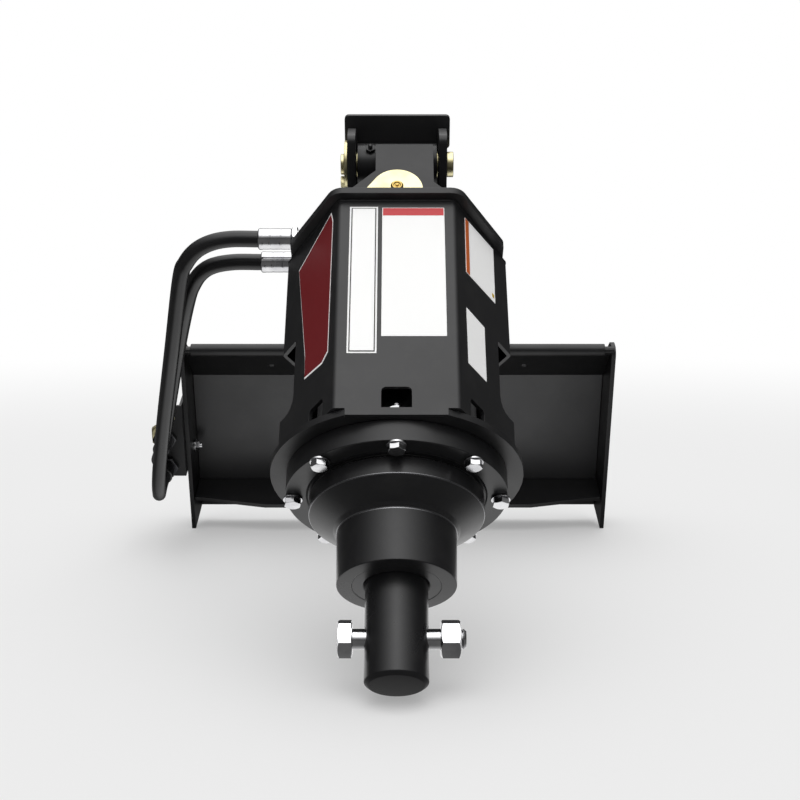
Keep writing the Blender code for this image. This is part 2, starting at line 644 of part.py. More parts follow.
def cap_plate(frame, paint):
    outline = rounded([
        (-CAP_HALF, PIN_UP + CAP_LOW, CAP_CORNER), (CAP_HALF, PIN_UP + CAP_LOW, CAP_CORNER),
        (CAP_HALF, PIN_UP + CAP_TOP, CAP_CORNER), (-CAP_HALF, PIN_UP + CAP_TOP, CAP_CORNER)])
    back = -PIN_FORWARD + CAP_BACK
    prism("cap_plate", outline, back, back + CAP_WALL, "y", frame, paint)


def upper_pin(frame, zinc, steel):
    """Cross pin with its flag, the bolt that locks the flag, end collar and thrust washers."""
    centre = (0.0, -PIN_FORWARD, PIN_UP)
    flag_inner = -(CHEEK_OUTER + GAP)
    flag_outer = flag_inner - FLAG_WALL
    tail = CHEEK_OUTER + GAP + PIN_COLLAR_LENGTH
    profile = [(0.0, tail), (PIN_R, tail), (PIN_R, flag_inner), (FLAG_R, flag_inner), (FLAG_R, flag_outer),
               (PIN_R, flag_outer), (PIN_R, flag_outer - PIN_TAIL), (0.0, flag_outer - PIN_TAIL)]
    pin = turned("upper_pin", profile, "x", frame, zinc, at=centre)
    lock = (0.0, -PIN_FORWARD, PIN_UP - LOCK_DROP)
    hole = rod_profile(LOCK_R + GAP, flag_outer - OVERRUN, flag_inner + GAP / 2)
    cut(pin, turned("flag_bore", hole, "x", at=lock, steps=SMALL_ROUND))
    collar = tube_profile(PIN_R + GAP, PIN_COLLAR_R, CHEEK_OUTER + GAP, tail)
    turned("upper_pin_collar", collar, "x", frame, zinc, at=centre)
    head_inner = flag_outer - GAP
    bolt = prism("pin_lock_bolt", hexagon(LOCK_HEAD_FLATS, centre=(-PIN_FORWARD, PIN_UP - LOCK_DROP)),
                 head_inner - LOCK_HEAD, head_inner, "x", frame, steel)
    shank = rod_profile(LOCK_R, head_inner - LOCK_HEAD / 2, -CHEEK_OUTER + LOCK_DEPTH)
    join(bolt, turned("lock_shank", shank, "x", at=lock, steps=SMALL_ROUND))
    for side, sign in (("left", -1), ("right", 1)):
        low, high = sorted((sign * (TUBE_HALF + GAP), sign * (TUBE_HALF + GAP + WASHER_WALL)))
        washer = tube_profile(PIN_R + GAP, WASHER_R, low, high)
        turned(f"thrust_washer_{side}", washer, "x", frame, zinc, at=centre)


def stop_outline():
    """Heel on the cross tube that rests flat on the cap plate, in the knuckle's y and z."""
    face = -(CAP_BACK - GAP)
    corners = ((face, STOP_LOW), (face, STOP_TOP), (-STOP_ROOT, STOP_TOP - GAP), (-STOP_ROOT, STOP_LOW))
    outline = []
    for ahead, above in corners:
        y = -ahead * math.cos(SWING) - above * math.sin(SWING)
        z = -ahead * math.sin(SWING) + above * math.cos(SWING)
        outline.append((y, z))
    return outline


def knuckle(axis, paint, bronze, dark):
    foot = arc((0.0, -PIN_PITCH), BLOCK_FOOT, 180.0, 360.0, 12)
    shift = (BLOCK_RIGHT - BLOCK_LEFT) / 2
    half = (BLOCK_RIGHT + BLOCK_LEFT) / 2
    outline = [(x * half / BLOCK_FOOT + shift, z) for x, z in foot]
    outline += [(BLOCK_RIGHT, -BLOCK_TOP), (-BLOCK_LEFT, -BLOCK_TOP)]
    block = prism("knuckle_block", outline, -BLOCK_HALF, BLOCK_HALF, "y", axis, paint)
    join(block, turned("cross_tube", rod_profile(TUBE_R, -TUBE_HALF, TUBE_HALF), "x"),
         prism("stop_heel", stop_outline(), -STOP_HALF, STOP_HALF, "x"))
    bore = rod_profile(BUSH_R + GAP, -TUBE_HALF - OVERRUN, TUBE_HALF + OVERRUN)
    lower = rod_profile(LOWER_PIN_R + GAP, -BLOCK_HALF - OVERRUN, BLOCK_HALF + OVERRUN)
    seat = rod_profile(FITTING_R + GAP, -TUBE_R - OVERRUN, -BUSH_R + OVERRUN)
    cut(block, turned("tube_bore", bore, "x"), turned("block_bore", lower, "y", at=(0.0, 0.0, -PIN_PITCH)),
        turned("fitting_bore", seat, "y", at=(-FITTING_LEFT, 0.0, 0.0), steps=SMALL_ROUND))
    for side, sign in (("left", -1), ("right", 1)):
        low, high = sorted((sign * TUBE_HALF, sign * (TUBE_HALF - BUSH_LENGTH)))
        turned(f"knuckle_bush_{side}", tube_profile(PIN_R + GAP, BUSH_R, low, high), "x", axis, bronze)
    inner = -BUSH_R - 2 * GAP
    outer = -TUBE_R - FITTING_LENGTH
    profile = [(0.0, inner), (FITTING_R, inner), (FITTING_R, -TUBE_R - FITTING_LENGTH / 2),
               (FITTING_R / 2, -TUBE_R - FITTING_LENGTH / 2), (FITTING_R / 2, outer), (0.0, outer)]
    turned("knuckle_grease_fitting", profile, "y", axis, dark, at=(-FITTING_LEFT, 0.0, 0.0), steps=12)


def ears(drive, paint):
    """Two upright plates on the rim, with round heads about the lower pin."""
    head = arc((0.0, LOWER_PIN_UP), EAR_TOP_R, 90.0 + EAR_SLOPE, 90.0 - EAR_SLOPE, 10)
    tangent_x, tangent_z = head[-1]
    shoulder = tangent_z - (EAR_HALF - tangent_x) * math.tan(math.radians(EAR_SLOPE))
    foot = RIM_TOP + GAP
    outline = head + [(EAR_HALF, shoulder), (EAR_HALF, foot), (-EAR_HALF, foot), (-EAR_HALF, shoulder)]
    for side, sign in (("front", -1), ("rear", 1)):
        low, high = sorted((sign * EAR_GAP_HALF, sign * (EAR_GAP_HALF + EAR_WALL)))
        ear = prism(f"ear_{side}", outline, low, high, "y", drive, paint)
        bore = rod_profile(LOWER_PIN_R + GAP, low - OVERRUN, high + OVERRUN)
        cut(ear, turned(f"ear_bore_{side}", bore, "y", at=(0.0, 0.0, LOWER_PIN_UP)))


def lower_pin(drive, zinc, brass, steel):
    front = EAR_GAP_HALF + EAR_WALL + GAP
    back = front + CLIP_WALL + CLIP_TAIL
    centre = (0.0, 0.0, LOWER_PIN_UP)
    profile = [(0.0, back), (LOWER_PIN_R, back), (LOWER_PIN_R, -front), (LOWER_FLAG_R, -front),
               (LOWER_FLAG_R, -front - FLAG_WALL), (0.0, -front - FLAG_WALL)]
    pin = turned("lower_pin", profile, "y", drive, zinc, at=centre)
    reach = LOWER_FLAG_R + OVERRUN
    flat = [(-reach, -reach), (reach, -reach), (reach, -LOWER_FLAG_FLAT), (-reach, -LOWER_FLAG_FLAT)]
    turn = Matrix.Rotation(math.radians(LOWER_FLAG_TURN), 2)
    flat = [turn @ Vector(corner) for corner in flat]
    flat = [(corner.x, corner.y + LOWER_PIN_UP) for corner in flat]
    seat = rod_profile(NIPPLE_R + GAP, -front - FLAG_WALL - OVERRUN, -front - FLAG_WALL + NIPPLE_SEAT)
    cut(pin, prism("flag_flat", flat, -front - FLAG_WALL - OVERRUN, -front + GAP / 2, "y"),
        turned("nipple_bore", seat, "y", at=centre, steps=SMALL_ROUND))
    face = -front - FLAG_WALL
    tip = face - NIPPLE_LENGTH
    profile = [(0.0, face + NIPPLE_SEAT - GAP), (NIPPLE_R, face + NIPPLE_SEAT - GAP),
               (NIPPLE_R, face - NIPPLE_LENGTH / 3), (NIPPLE_R / 2, face - NIPPLE_LENGTH / 2),
               (NIPPLE_R / 2, tip), (0.0, tip)]
    turned("lower_pin_nipple", profile, "y", drive, brass, at=centre, steps=12)
    turned("lower_pin_clip", tube_profile(LOWER_PIN_R + GAP, CLIP_R, front, front + CLIP_WALL), "y",
           drive, steel, at=centre)


def rim_plate(drive, paint):
    right = [(RIM_FRONT_HALF, -RIM_FRONT, RIM_FRONT_R), (RIM_HALF, -RIM_SIDE_FRONT, RIM_SIDE_R),
             (RIM_HALF, RIM_SIDE_BACK, RIM_SIDE_R), (RIM_FRONT_HALF, RIM_REAR, RIM_FRONT_R)]
    left = [(-x, y, radius) for x, y, radius in reversed(right)]
    plate = prism("rim_plate", rounded(right + left, steps=5), RIM_LOW, RIM_TOP, "z", drive, paint)
    for side, place in PORT_PLACES:
        bore = rod_profile(PORT_R + GAP, RIM_LOW - OVERRUN, RIM_TOP + OVERRUN)
        cut(plate, turned(f"port_bore_{side}", bore, "z", at=(-PORT_LEFT, -place, 0.0), steps=SMALL_ROUND))


def hood_outline(inset):
    """Hexagon with flats to the front and rear and bent corners, drawn in by an inset of its walls."""
    radius = HOOD_CORNER_R - inset * 2 / math.sqrt(3)
    angles = [math.radians(60 * i) for i in range(6)]
    return rounded([(radius * math.cos(a), radius * math.sin(a) - HOOD_MIDDLE, HOOD_BEND - inset)
                    for a in angles], steps=3)


def hood(drive, paint):
    """Hexagonal cover with side notches and access windows; its front tab drops into the ring plate."""
    low = RING_WALL + GAP
    high = RIM_LOW - GAP
    shell = prism("hood", hood_outline(0.0), 0.0, high, "z", drive, paint)
    inner = prism("hood_hollow", hood_outline(HOOD_WALL), -OVERRUN, high + OVERRUN, "z")
    reach = RING_R + OVERRUN
    lap_back = -HOOD_FRONT + HOOD_WALL
    skirt = [(-reach, -reach), (-HOOD_TAB_HALF, -reach), (-HOOD_TAB_HALF, lap_back),
             (HOOD_TAB_HALF, lap_back), (HOOD_TAB_HALF, -reach), (reach, -reach), (reach, reach),
             (-reach, reach)]
    front = -HOOD_MIDDLE - NOTCH_HALF
    rear = -HOOD_MIDDLE + NOTCH_HALF
    outline = rounded([(front, NOTCH_TOP, NOTCH_TOP_R), (front, NOTCH_LOW, NOTCH_LOW_R),
                       (rear, NOTCH_LOW, NOTCH_LOW_R), (rear, NOTCH_TOP, NOTCH_TOP_R)])
    window = rounded([
        (-WINDOW_HALF, WINDOW_LOW, 0.0), (WINDOW_HALF, WINDOW_LOW, 0.0),
        (WINDOW_HALF, WINDOW_TOP, WINDOW_CORNER), (-WINDOW_HALF, WINDOW_TOP, WINDOW_CORNER)])
    cut(shell, inner, prism("hood_skirt", skirt, -OVERRUN, low, "z"),
        prism("hood_notch", outline, -reach, reach, "x"))
    for name, turn, shift in (("front", 0.0, 0.0), ("left", -60.0, WINDOW_SHIFT), ("right", 60.0, -WINDOW_SHIFT)):
        bm = prism_mesh(window, -HOOD_FLATS / 2 - OVERRUN, -HOOD_FLATS / 2 + HOOD_WALL + OVERRUN, "y")
        bmesh.ops.translate(bm, vec=(shift, 0.0, 0.0), verts=bm.verts)
        bmesh.ops.rotate(bm, cent=(0, 0, 0), matrix=Matrix.Rotation(math.radians(turn), 3, 'Z'),
                         verts=bm.verts)
        bmesh.ops.translate(bm, vec=(0.0, -HOOD_MIDDLE, 0.0), verts=bm.verts)
        cut(shell, add_piece(f"window_{name}", bm, None, None))


def bolt_places():
    """Centres of the flange bolts, the first at the front."""
    angles = [math.tau * i / BOLTS - math.pi / 2 for i in range(BOLTS)]
    return [(BOLT_CIRCLE_R * math.cos(a), BOLT_CIRCLE_R * math.sin(a)) for a in angles]


def ring_plate(drive, paint):
    """Round plate under the hood, with a slot at the front for the hood's tab."""
    flat = -(HOOD_FRONT - HOOD_WALL - GAP)
    slot_half = HOOD_TAB_HALF + GAP
    corner = math.degrees(math.acos(slot_half / RING_R))
    outline = arc((0.0, 0.0), RING_R, -corner, 180.0 + corner, 48) + [(-slot_half, flat), (slot_half, flat)]
    plate = prism("ring_plate", outline, 0.0, RING_WALL, "z", drive, paint, smooth=True)
    bore = rod_profile(CASE_R + GAP, -OVERRUN, RING_WALL + OVERRUN)
    cut(plate, turned("ring_bore", bore, "z", steps=WIDE_ROUND))
    bores_through(plate, "ring", -OVERRUN, RING_WALL + OVERRUN)


def bores_through(piece, name, low, high):
    """Cuts the bolt circle's holes."""
    for i, (x, y) in enumerate(bolt_places()):
        hole = rod_profile(BOLT_R + GAP, low, high)
        cut(piece, turned(f"{name}_bolt_bore_{i + 1}", hole, "z", at=(x, y, 0.0), steps=SMALL_ROUND,
                          turn=BORE_TURN))


def gear_outline(teeth, tip, root, thinning, turn=0.0, points=3):
    """Involute teeth about the origin, thinned at the pitch circle, with a tooth centred on the turn."""
    pitch = MODULE * teeth / 2
    base = pitch * math.cos(PRESSURE)

    def flank(radius):
        spread = math.tan(math.acos(min(1.0, base / radius)))
        return spread - math.atan(spread)

    half_pitch = math.pi / (2 * teeth) - thinning / (2 * pitch)
    half_base = half_pitch + math.tan(PRESSURE) - PRESSURE
    start = max(root, base)
    radii = [start + (tip - start) * i / (points - 1) for i in range(points)]
    outline = []
    for tooth in range(teeth):
        centre = math.tau * tooth / teeth + turn
        side = [(radius, half_base - flank(radius)) for radius in radii]
        if root < start:
            side.insert(0, (root, side[0][1]))
        spokes = [(radius, centre - angle) for radius, angle in side]
        spokes += [(radius, centre + angle) for radius, angle in reversed(side)]
        outline += [(radius * math.cos(a), radius * math.sin(a)) for radius, a in spokes]
    return outline


def gear_case(drive, steel):
    """Cup with the ring gear's teeth inside, clamped by its foot between cover and ring plate."""
    foot_low = -CASE_FOOT
    profile = [(0.0, CASE_TOP), (CASE_R, CASE_TOP), (CASE_R, -GAP), (CASE_FOOT_R, -GAP),
               (CASE_FOOT_R, foot_low), (0.0, foot_low)]
    case = turned("gear_case", profile, "z", drive, steel, steps=WIDE_ROUND)
    tip = RING_PITCH_R + MODULE * DEDENDUM_SHARE
    root = RING_PITCH_R - MODULE * ADDENDUM_SHARE
    teeth = gear_outline(RING_TEETH, tip, root, -BACKLASH, turn=math.pi / RING_TEETH, points=2)
    lid = CASE_TOP - CASE_LID
    cavity = prism("ring_teeth", teeth, foot_low - OVERRUN, lid, "z")
    well = rod_profile(CAVITY_R, foot_low - OVERRUN, CARRIER_TOP)
    bore = rod_profile(CASE_BORE_R, lid - OVERRUN, CASE_TOP + OVERRUN)
    cut(case, cavity, turned("case_well", well, "z"), turned("case_bore", bore, "z", steps=SMALL_ROUND))


def gearbox_cover(drive, paint):
    """Turned cover: flange, stepped boss, cone and long collar round the shaft's bearing."""
    recess = CASE_FOOT + GAP
    pocket = BEARING_TOP + BEARING_WIDTH + GAP
    seal_top = COLLAR_LOW - SEAL_WIDTH
    shaft_bore = SHAFT_R + 2 * GAP
    outer = [(FLANGE_R, -GAP), (FLANGE_R, -FLANGE_LOW), (BOSS_GROOVE_R, -FLANGE_LOW),
             (BOSS_GROOVE_R, -FLANGE_LOW - BOSS_GROOVE), (BOSS_R, -FLANGE_LOW - BOSS_GROOVE),
             (BOSS_R, -BOSS_LOW), (COLLAR_ROOT_R, -CONE_LOW), (COLLAR_R, -COLLAR_LOW + COLLAR_EDGE),
             (COLLAR_R - COLLAR_EDGE, -COLLAR_LOW)]
    bearing_bore = BEARING_R + GAP
    bore = [(SEAL_R + GAP, -COLLAR_LOW), (SEAL_R + GAP, -seal_top), (shaft_bore, -seal_top),
            (shaft_bore, -pocket), (bearing_bore, -pocket), (bearing_bore, -recess),
            (CASE_FOOT_R + GAP, -recess), (CASE_FOOT_R + GAP, -GAP)]
    cover = turned("gearbox_cover", outer + bore, "z", drive, paint, steps=WIDE_ROUND)
    bores_through(cover, "cover", -FLANGE_LOW - OVERRUN, OVERRUN)
    turned("shaft_seal", tube_profile(SHAFT_R + GAP, SEAL_R, -COLLAR_LOW + GAP, -seal_top - GAP), "z",
           drive, paint)


def shaft_bearing(drive, steel):
    low = -BEARING_TOP - BEARING_WIDTH
    turned("shaft_bearing", tube_profile(SHAFT_R + GAP, BEARING_R, low, -BEARING_TOP), "z", drive, steel)


def flange_bolts(drive, chrome):
    """Bolts through the cover's flange into the ring plate; the front one has room for a nut."""
    under = -FLANGE_LOW - GAP
    for i, (x, y) in enumerate(bolt_places()):
        top = RING_WALL
        if i == 0:
            top = RING_WALL + GAP + BOLT_NUT + BOLT_R
        low = under - BOLT_WASHER - BOLT_HEAD / 2
        profile = [(0.0, top), (BOLT_R, top), (BOLT_R, under), (BOLT_WASHER_R, under),
                   (BOLT_WASHER_R, under - BOLT_WASHER), (BOLT_R, under - BOLT_WASHER), (BOLT_R, low),
                   (0.0, low)]
        bolt = turned(f"flange_bolt_{i + 1}", profile, "z", drive, chrome, at=(x, y, 0.0),
                      steps=SMALL_ROUND)
        head = prism(f"bolt_head_{i + 1}", hexagon(BOLT_FLATS, centre=(x, y)),
                     under - BOLT_WASHER - BOLT_HEAD, under - BOLT_WASHER / 2, "z")
        join(bolt, head)
        if i == 0:
            join(bolt, prism("front_bolt_nut", hexagon(BOLT_FLATS, centre=(x, y)), RING_WALL + GAP,
                             RING_WALL + GAP + BOLT_NUT, "z"))


def motor(drive, paint):
    """Hydraulic motor on the gear case: flange, body and a wider rotor housing."""
    low = CASE_TOP + GAP
    body = low + MOTOR_FLANGE
    length = MOTOR_TOP - body
    steps = [body + length * share for share in MOTOR_STEP_SHARES]
    profile = [(0.0, MOTOR_TOP), (MOTOR_R, MOTOR_TOP), (MOTOR_R, steps[3]), (MOTOR_STEP_R, steps[3]),
               (MOTOR_STEP_R, steps[2]), (MOTOR_R, steps[2]), (MOTOR_R, steps[1]),
               (MOTOR_STEP_R, steps[1]), (MOTOR_STEP_R, steps[0]), (MOTOR_R, steps[0]), (MOTOR_R, body),
               (MOTOR_FLANGE_R, body), (MOTOR_FLANGE_R, low), (SUN_SHAFT_R + 2 * GAP, low),
               (SUN_SHAFT_R + 2 * GAP, SUN_SHAFT_TOP + 2 * GAP), (0.0, SUN_SHAFT_TOP + 2 * GAP)]
    turned("hydraulic_motor", profile, "z", drive, paint)


def gears(axes, steel):
    top = GEAR_WIDTH
    tip = SUN_PITCH_R + MODULE * ADDENDUM_SHARE
    root = SUN_PITCH_R - MODULE * DEDENDUM_SHARE
    sun = prism("sun_gear", gear_outline(SUN_TEETH, tip, root, BACKLASH), 0.0, top, "z", axes["sun"], steel)
    stem = rod_profile(SUN_SHAFT_R, top / 2, SUN_SHAFT_TOP - GEAR_LOW)
    join(sun, turned("sun_stem", stem, "z", steps=SMALL_ROUND))
    tip = PLANET_PITCH_R + MODULE * ADDENDUM_SHARE
    root = PLANET_PITCH_R - MODULE * DEDENDUM_SHARE
    for i in range(PLANETS):
        turn = math.tau * i / PLANETS + math.pi / PLANET_TEETH
        outline = gear_outline(PLANET_TEETH, tip, root, BACKLASH, turn)
        planet = prism(f"planet_gear_{i + 1}", outline, 0.0, top, "z", axes[f"planet_{i + 1}"], steel)
        bore = rod_profile(PLANET_PIN_R + GAP, -OVERRUN, top + OVERRUN)
        cut(planet, turned(f"planet_bore_{i + 1}", bore, "z", steps=SMALL_ROUND))


def output_shaft(shaft, steel):
    """Output shaft in one piece with the planet carrier and its pins, cross-bored at the end."""
    hub = BEARING_R - 4 * GAP
    hub_low = -BEARING_TOP + 2 * GAP
    profile = [(0.0, CARRIER_TOP), (CARRIER_R, CARRIER_TOP), (CARRIER_R, CARRIER_LOW), (hub, CARRIER_LOW),
               (hub, hub_low), (SHAFT_R, hub_low), (SHAFT_R, -SHAFT_END + SHAFT_CHAMFER_LENGTH),
               (SHAFT_R - SHAFT_CHAMFER, -SHAFT_END), (0.0, -SHAFT_END)]
    bar = turned("output_shaft", profile, "z", shaft, steel, steps=WIDE_ROUND)
    for i in range(PLANETS):
        angle = math.tau * i / PLANETS
        place = (PLANET_DISTANCE * math.cos(angle), PLANET_DISTANCE * math.sin(angle), 0.0)
        pin = rod_profile(PLANET_PIN_R, (CARRIER_LOW + CARRIER_TOP) / 2, GEAR_LOW + GEAR_WIDTH)
        join(bar, turned(f"planet_pin_{i + 1}", pin, "z", at=place, steps=SMALL_ROUND))
    reach = SHAFT_R + OVERRUN
    wide = CROSS_R + GAP + CROSS_SINK + OVERRUN
    slim = CROSS_R + GAP
    rim = SHAFT_R - CROSS_SINK
    hole = [(0.0, reach), (wide, reach), (slim, rim), (slim, -rim), (wide, -reach), (0.0, -reach)]
    cut(bar, turned("cross_bore", hole, "x", at=(0.0, 0.0, CROSS_LEVEL)))


def cross_bolt(shaft, chrome):
    """Heavy bolt through the shaft's end, with its nut; the auger's socket goes between them."""
    head = prism("cross_bolt", hexagon(CROSS_FLATS, centre=(0.0, CROSS_LEVEL), turn=CROSS_TURN),
                 -CROSS_HEAD_INNER - CROSS_HEAD, -CROSS_HEAD_INNER, "x", shaft, chrome)
    centre = (0.0, 0.0, CROSS_LEVEL)
    stem = rod_profile(CROSS_R, -CROSS_HEAD_INNER - CROSS_HEAD / 2, CROSS_TAIL)
    join(head, turned("cross_stem", stem, "x", at=centre))
    inner = CROSS_HEAD_INNER
    nut = prism("cross_nut", hexagon(CROSS_FLATS, centre=(0.0, CROSS_LEVEL), turn=CROSS_TURN), inner,
                inner + CROSS_NUT, "x", shaft, chrome)
    cut(nut, turned("nut_bore", rod_profile(CROSS_R + GAP, inner - OVERRUN, CROSS_TAIL + OVERRUN), "x",
                    at=centre))


def elbow_mesh(place):
    """Round pipe: up out of the rim plate, round a quarter bend, out to the left."""
    bm = bmesh.new()
    ring = bmesh.ops.create_circle(bm, cap_ends=True, radius=PORT_R, segments=SMALL_ROUND)["verts"]
    bmesh.ops.translate(bm, vec=(-PORT_LEFT, -place, RIM_LOW + GAP), verts=ring)
    face = bm.faces[:][0]
    low = PORT_UP - PORT_BEND
    rise = bmesh.ops.extrude_face_region(bm, geom=[face])["geom"]
    verts = [item for item in rise if isinstance(item, bmesh.types.BMVert)]
    bmesh.ops.translate(bm, vec=(0.0, 0.0, low - RIM_LOW - GAP), verts=verts)
    end = [item for item in rise if isinstance(item, bmesh.types.BMFace)]
    centre = (-PORT_LEFT - PORT_BEND, -place, low)
    bend = bmesh.ops.spin(bm, geom=end, cent=centre, axis=(0, -1, 0), angle=math.pi / 2, steps=5)
    bmesh.ops.delete(bm, geom=end, context='FACES')
    last = [item for item in bend["geom_last"] if isinstance(item, bmesh.types.BMFace)]
    reach = SWIVEL_LEFT + SWIVEL_LENGTH - GAP - PORT_LEFT - PORT_BEND
    out = bmesh.ops.extrude_face_region(bm, geom=last)["geom"]
    verts = [item for item in out if isinstance(item, bmesh.types.BMVert)]
    bmesh.ops.translate(bm, vec=(-reach, 0.0, 0.0), verts=verts)
    bmesh.ops.delete(bm, geom=last, context='FACES_ONLY')
    bmesh.ops.remove_doubles(bm, verts=bm.verts, dist=MM / 100)
    return bm


def hose_ports(drive, dark, chrome):
    for side, place in PORT_PLACES:
        elbow = add_piece(f"port_elbow_{side}", elbow_mesh(place), drive, dark, smooth=True)
        foot = hexagon(PORT_FLATS, centre=(-PORT_LEFT, -place), turn=30.0)
        nut = hexagon(PORT_FLATS, centre=(-place, PORT_UP), turn=0.0)
        join(elbow, prism(f"port_foot_{side}", foot, RIM_TOP + GAP, RIM_TOP + PORT_FOOT, "z"),
             prism(f"swivel_{side}", nut, -SWIVEL_LEFT - SWIVEL_LENGTH + GAP, -SWIVEL_LEFT, "x"))
        ferrule = rod_profile(FERRULE_R, -FERRULE_LEFT, -SWIVEL_LEFT - SWIVEL_LENGTH, edge=FERRULE_EDGE)
        turned(f"hose_ferrule_{side}", ferrule, "x", drive, chrome, at=(0.0, -place, PORT_UP))


def smooth_route(points):
    """Points of a smooth curve through the route's own points."""
    places = [Vector(point) for point in points]
    places = [2 * places[0] - places[1]] + places + [2 * places[-1] - places[-2]]
    route = []
    for i in range(1, len(places) - 2):
        a, b, c, d = places[i - 1:i + 3]
        for step in range(HOSE_STEPS):
            t = step / HOSE_STEPS
            route.append(b + (c - a) * t / 2 + (a * 2 - b * 5 + c * 4 - d) * t ** 2 / 2
                         + (b * 3 - a - c * 3 + d) * t ** 3 / 2)
    route.append(places[-2])
    return route


def hose(name, points, frame, rubber):
    curve = bpy.data.curves.new(name, 'CURVE')
    curve.dimensions = '3D'
    curve.bevel_depth = HOSE_R
    curve.bevel_resolution = 2
    curve.use_fill_caps = True
    route = smooth_route([(x, -ahead, above) for x, ahead, above in points])
    spline = curve.splines.new('POLY')
    spline.points.add(len(route) - 1)
    for point, place in zip(spline.points, route):
        point.co = (*place, 1.0)
    tube = bpy.data.objects.new(name, curve)
    bpy.context.collection.objects.link(tube)
    curve.materials.append(rubber)
    tube.parent = frame


def coupler_bracket(frame, paint, chrome):
    """Angle on the left side plate that holds the two bulkhead couplers."""
    inner = -PLATE_WIDTH / 2 - GAP
    leg = inner - BRACKET_WALL
    plan = [(inner, -BRACKET_FRONT), (inner, BRACKET_BACK), (leg, BRACKET_BACK),
            (leg, -BRACKET_FRONT + BRACKET_WALL), (inner - BRACKET_WIDTH, -BRACKET_FRONT + BRACKET_WALL),
            (inner - BRACKET_WIDTH, -BRACKET_FRONT)]
    bracket = prism("coupler_bracket", plan, BRACKET_LOW, BRACKET_TOP, "z", frame, paint)
    reach = BRACKET_WIDTH + OVERRUN
    trim = rounded([
        (inner - BRACKET_WIDTH, BRACKET_LOW, BRACKET_CORNER), (inner + reach, BRACKET_LOW, 0.0),
        (inner + reach, BRACKET_TOP, 0.0), (inner - BRACKET_TAB, BRACKET_TOP, BRACKET_TAB_R),
        (inner - BRACKET_TAB, BRACKET_SHOULDER, BRACKET_TAB_R),
        (inner - BRACKET_WIDTH, BRACKET_SHOULDER, BRACKET_SHOULDER_R)])
    shape = prism("bracket_shape", trim, -BRACKET_FRONT - OVERRUN, BRACKET_BACK + OVERRUN, "y")
    combine(bracket, shape, 'INTERSECT')
    for name, above, _ in COUPLER_PLACES:
        bore = rod_profile(COUPLER_THREAD_R + GAP, -BRACKET_FRONT - OVERRUN, OVERRUN)
        cut(bracket, turned(f"bulkhead_bore_{name}", bore, "y", at=(COUPLER_X, 0.0, above)))
    at = (0.0, BRACKET_BOLT_BACK, BRACKET_BOLT_UP)
    bore = rod_profile(BRACKET_BOLT_R + GAP, leg - OVERRUN, inner + OVERRUN)
    cut(bracket, turned("leg_bore", bore, "x", at=at, steps=SMALL_ROUND))
    face = -SIDE_INNER + GAP
    bolt = prism("bracket_bolt", hexagon(BRACKET_BOLT_FLATS, centre=(BRACKET_BOLT_BACK, BRACKET_BOLT_UP)),
                 face, face + BRACKET_BOLT_HEAD, "x", frame, chrome)
    shank = rod_profile(BRACKET_BOLT_R, leg - BRACKET_BOLT_HEAD / 2, face + BRACKET_BOLT_HEAD / 2)
    nut = prism("bracket_bolt_nut", hexagon(BRACKET_BOLT_FLATS, centre=(BRACKET_BOLT_BACK, BRACKET_BOLT_UP)),
                leg - GAP - BRACKET_BOLT_HEAD, leg - GAP, "x")
    join(bolt, turned("bracket_shank", shank, "x", at=at, steps=SMALL_ROUND), nut)


def couplers(frame, zinc, dark):
    """Bulkhead coupler behind the bracket, lock nut and hose end in front of it."""
    front = -BRACKET_FRONT
    back = -BRACKET_FRONT + BRACKET_WALL
    for name, above, hose_ahead in COUPLER_PLACES:
        centre = (COUPLER_X, 0.0, above)
        nut_front = front - GAP - COUPLER_NUT
        body_back = back + GAP + COUPLER_NECK + COUPLER_BODY
        body = prism(f"quick_coupler_{name}", hexagon(COUPLER_FLATS, centre=(COUPLER_X, above), turn=30.0),
                     back + GAP, body_back, "y", frame, zinc)
        sleeve = tube_profile(COUPLER_SLEEVE_R / 2, COUPLER_SLEEVE_R, body_back - COUPLER_NECK,
                              body_back + COUPLER_SLEEVE)
        thread = rod_profile(COUPLER_THREAD_R, nut_front + GAP, back + COUPLER_NECK)
        join(body, turned(f"coupler_sleeve_{name}", sleeve, "y", at=centre),
             turned(f"coupler_thread_{name}", thread, "y", at=centre))
        end = prism(f"hose_end_{name}", hexagon(COUPLER_NUT_FLATS, centre=(COUPLER_X, above), turn=30.0),
                    nut_front, front - GAP, "y", frame, dark)
        socket = rod_profile(COUPLER_THREAD_R + GAP, nut_front + GAP / 2, front + OVERRUN)
        cut(end, turned(f"hose_end_bore_{name}", socket, "y", at=centre))
        barrel = rod_profile(FERRULE_R, -hose_ahead, nut_front + GAP / 4)
        join(end, turned(f"hose_end_barrel_{name}", barrel, "y", at=centre))


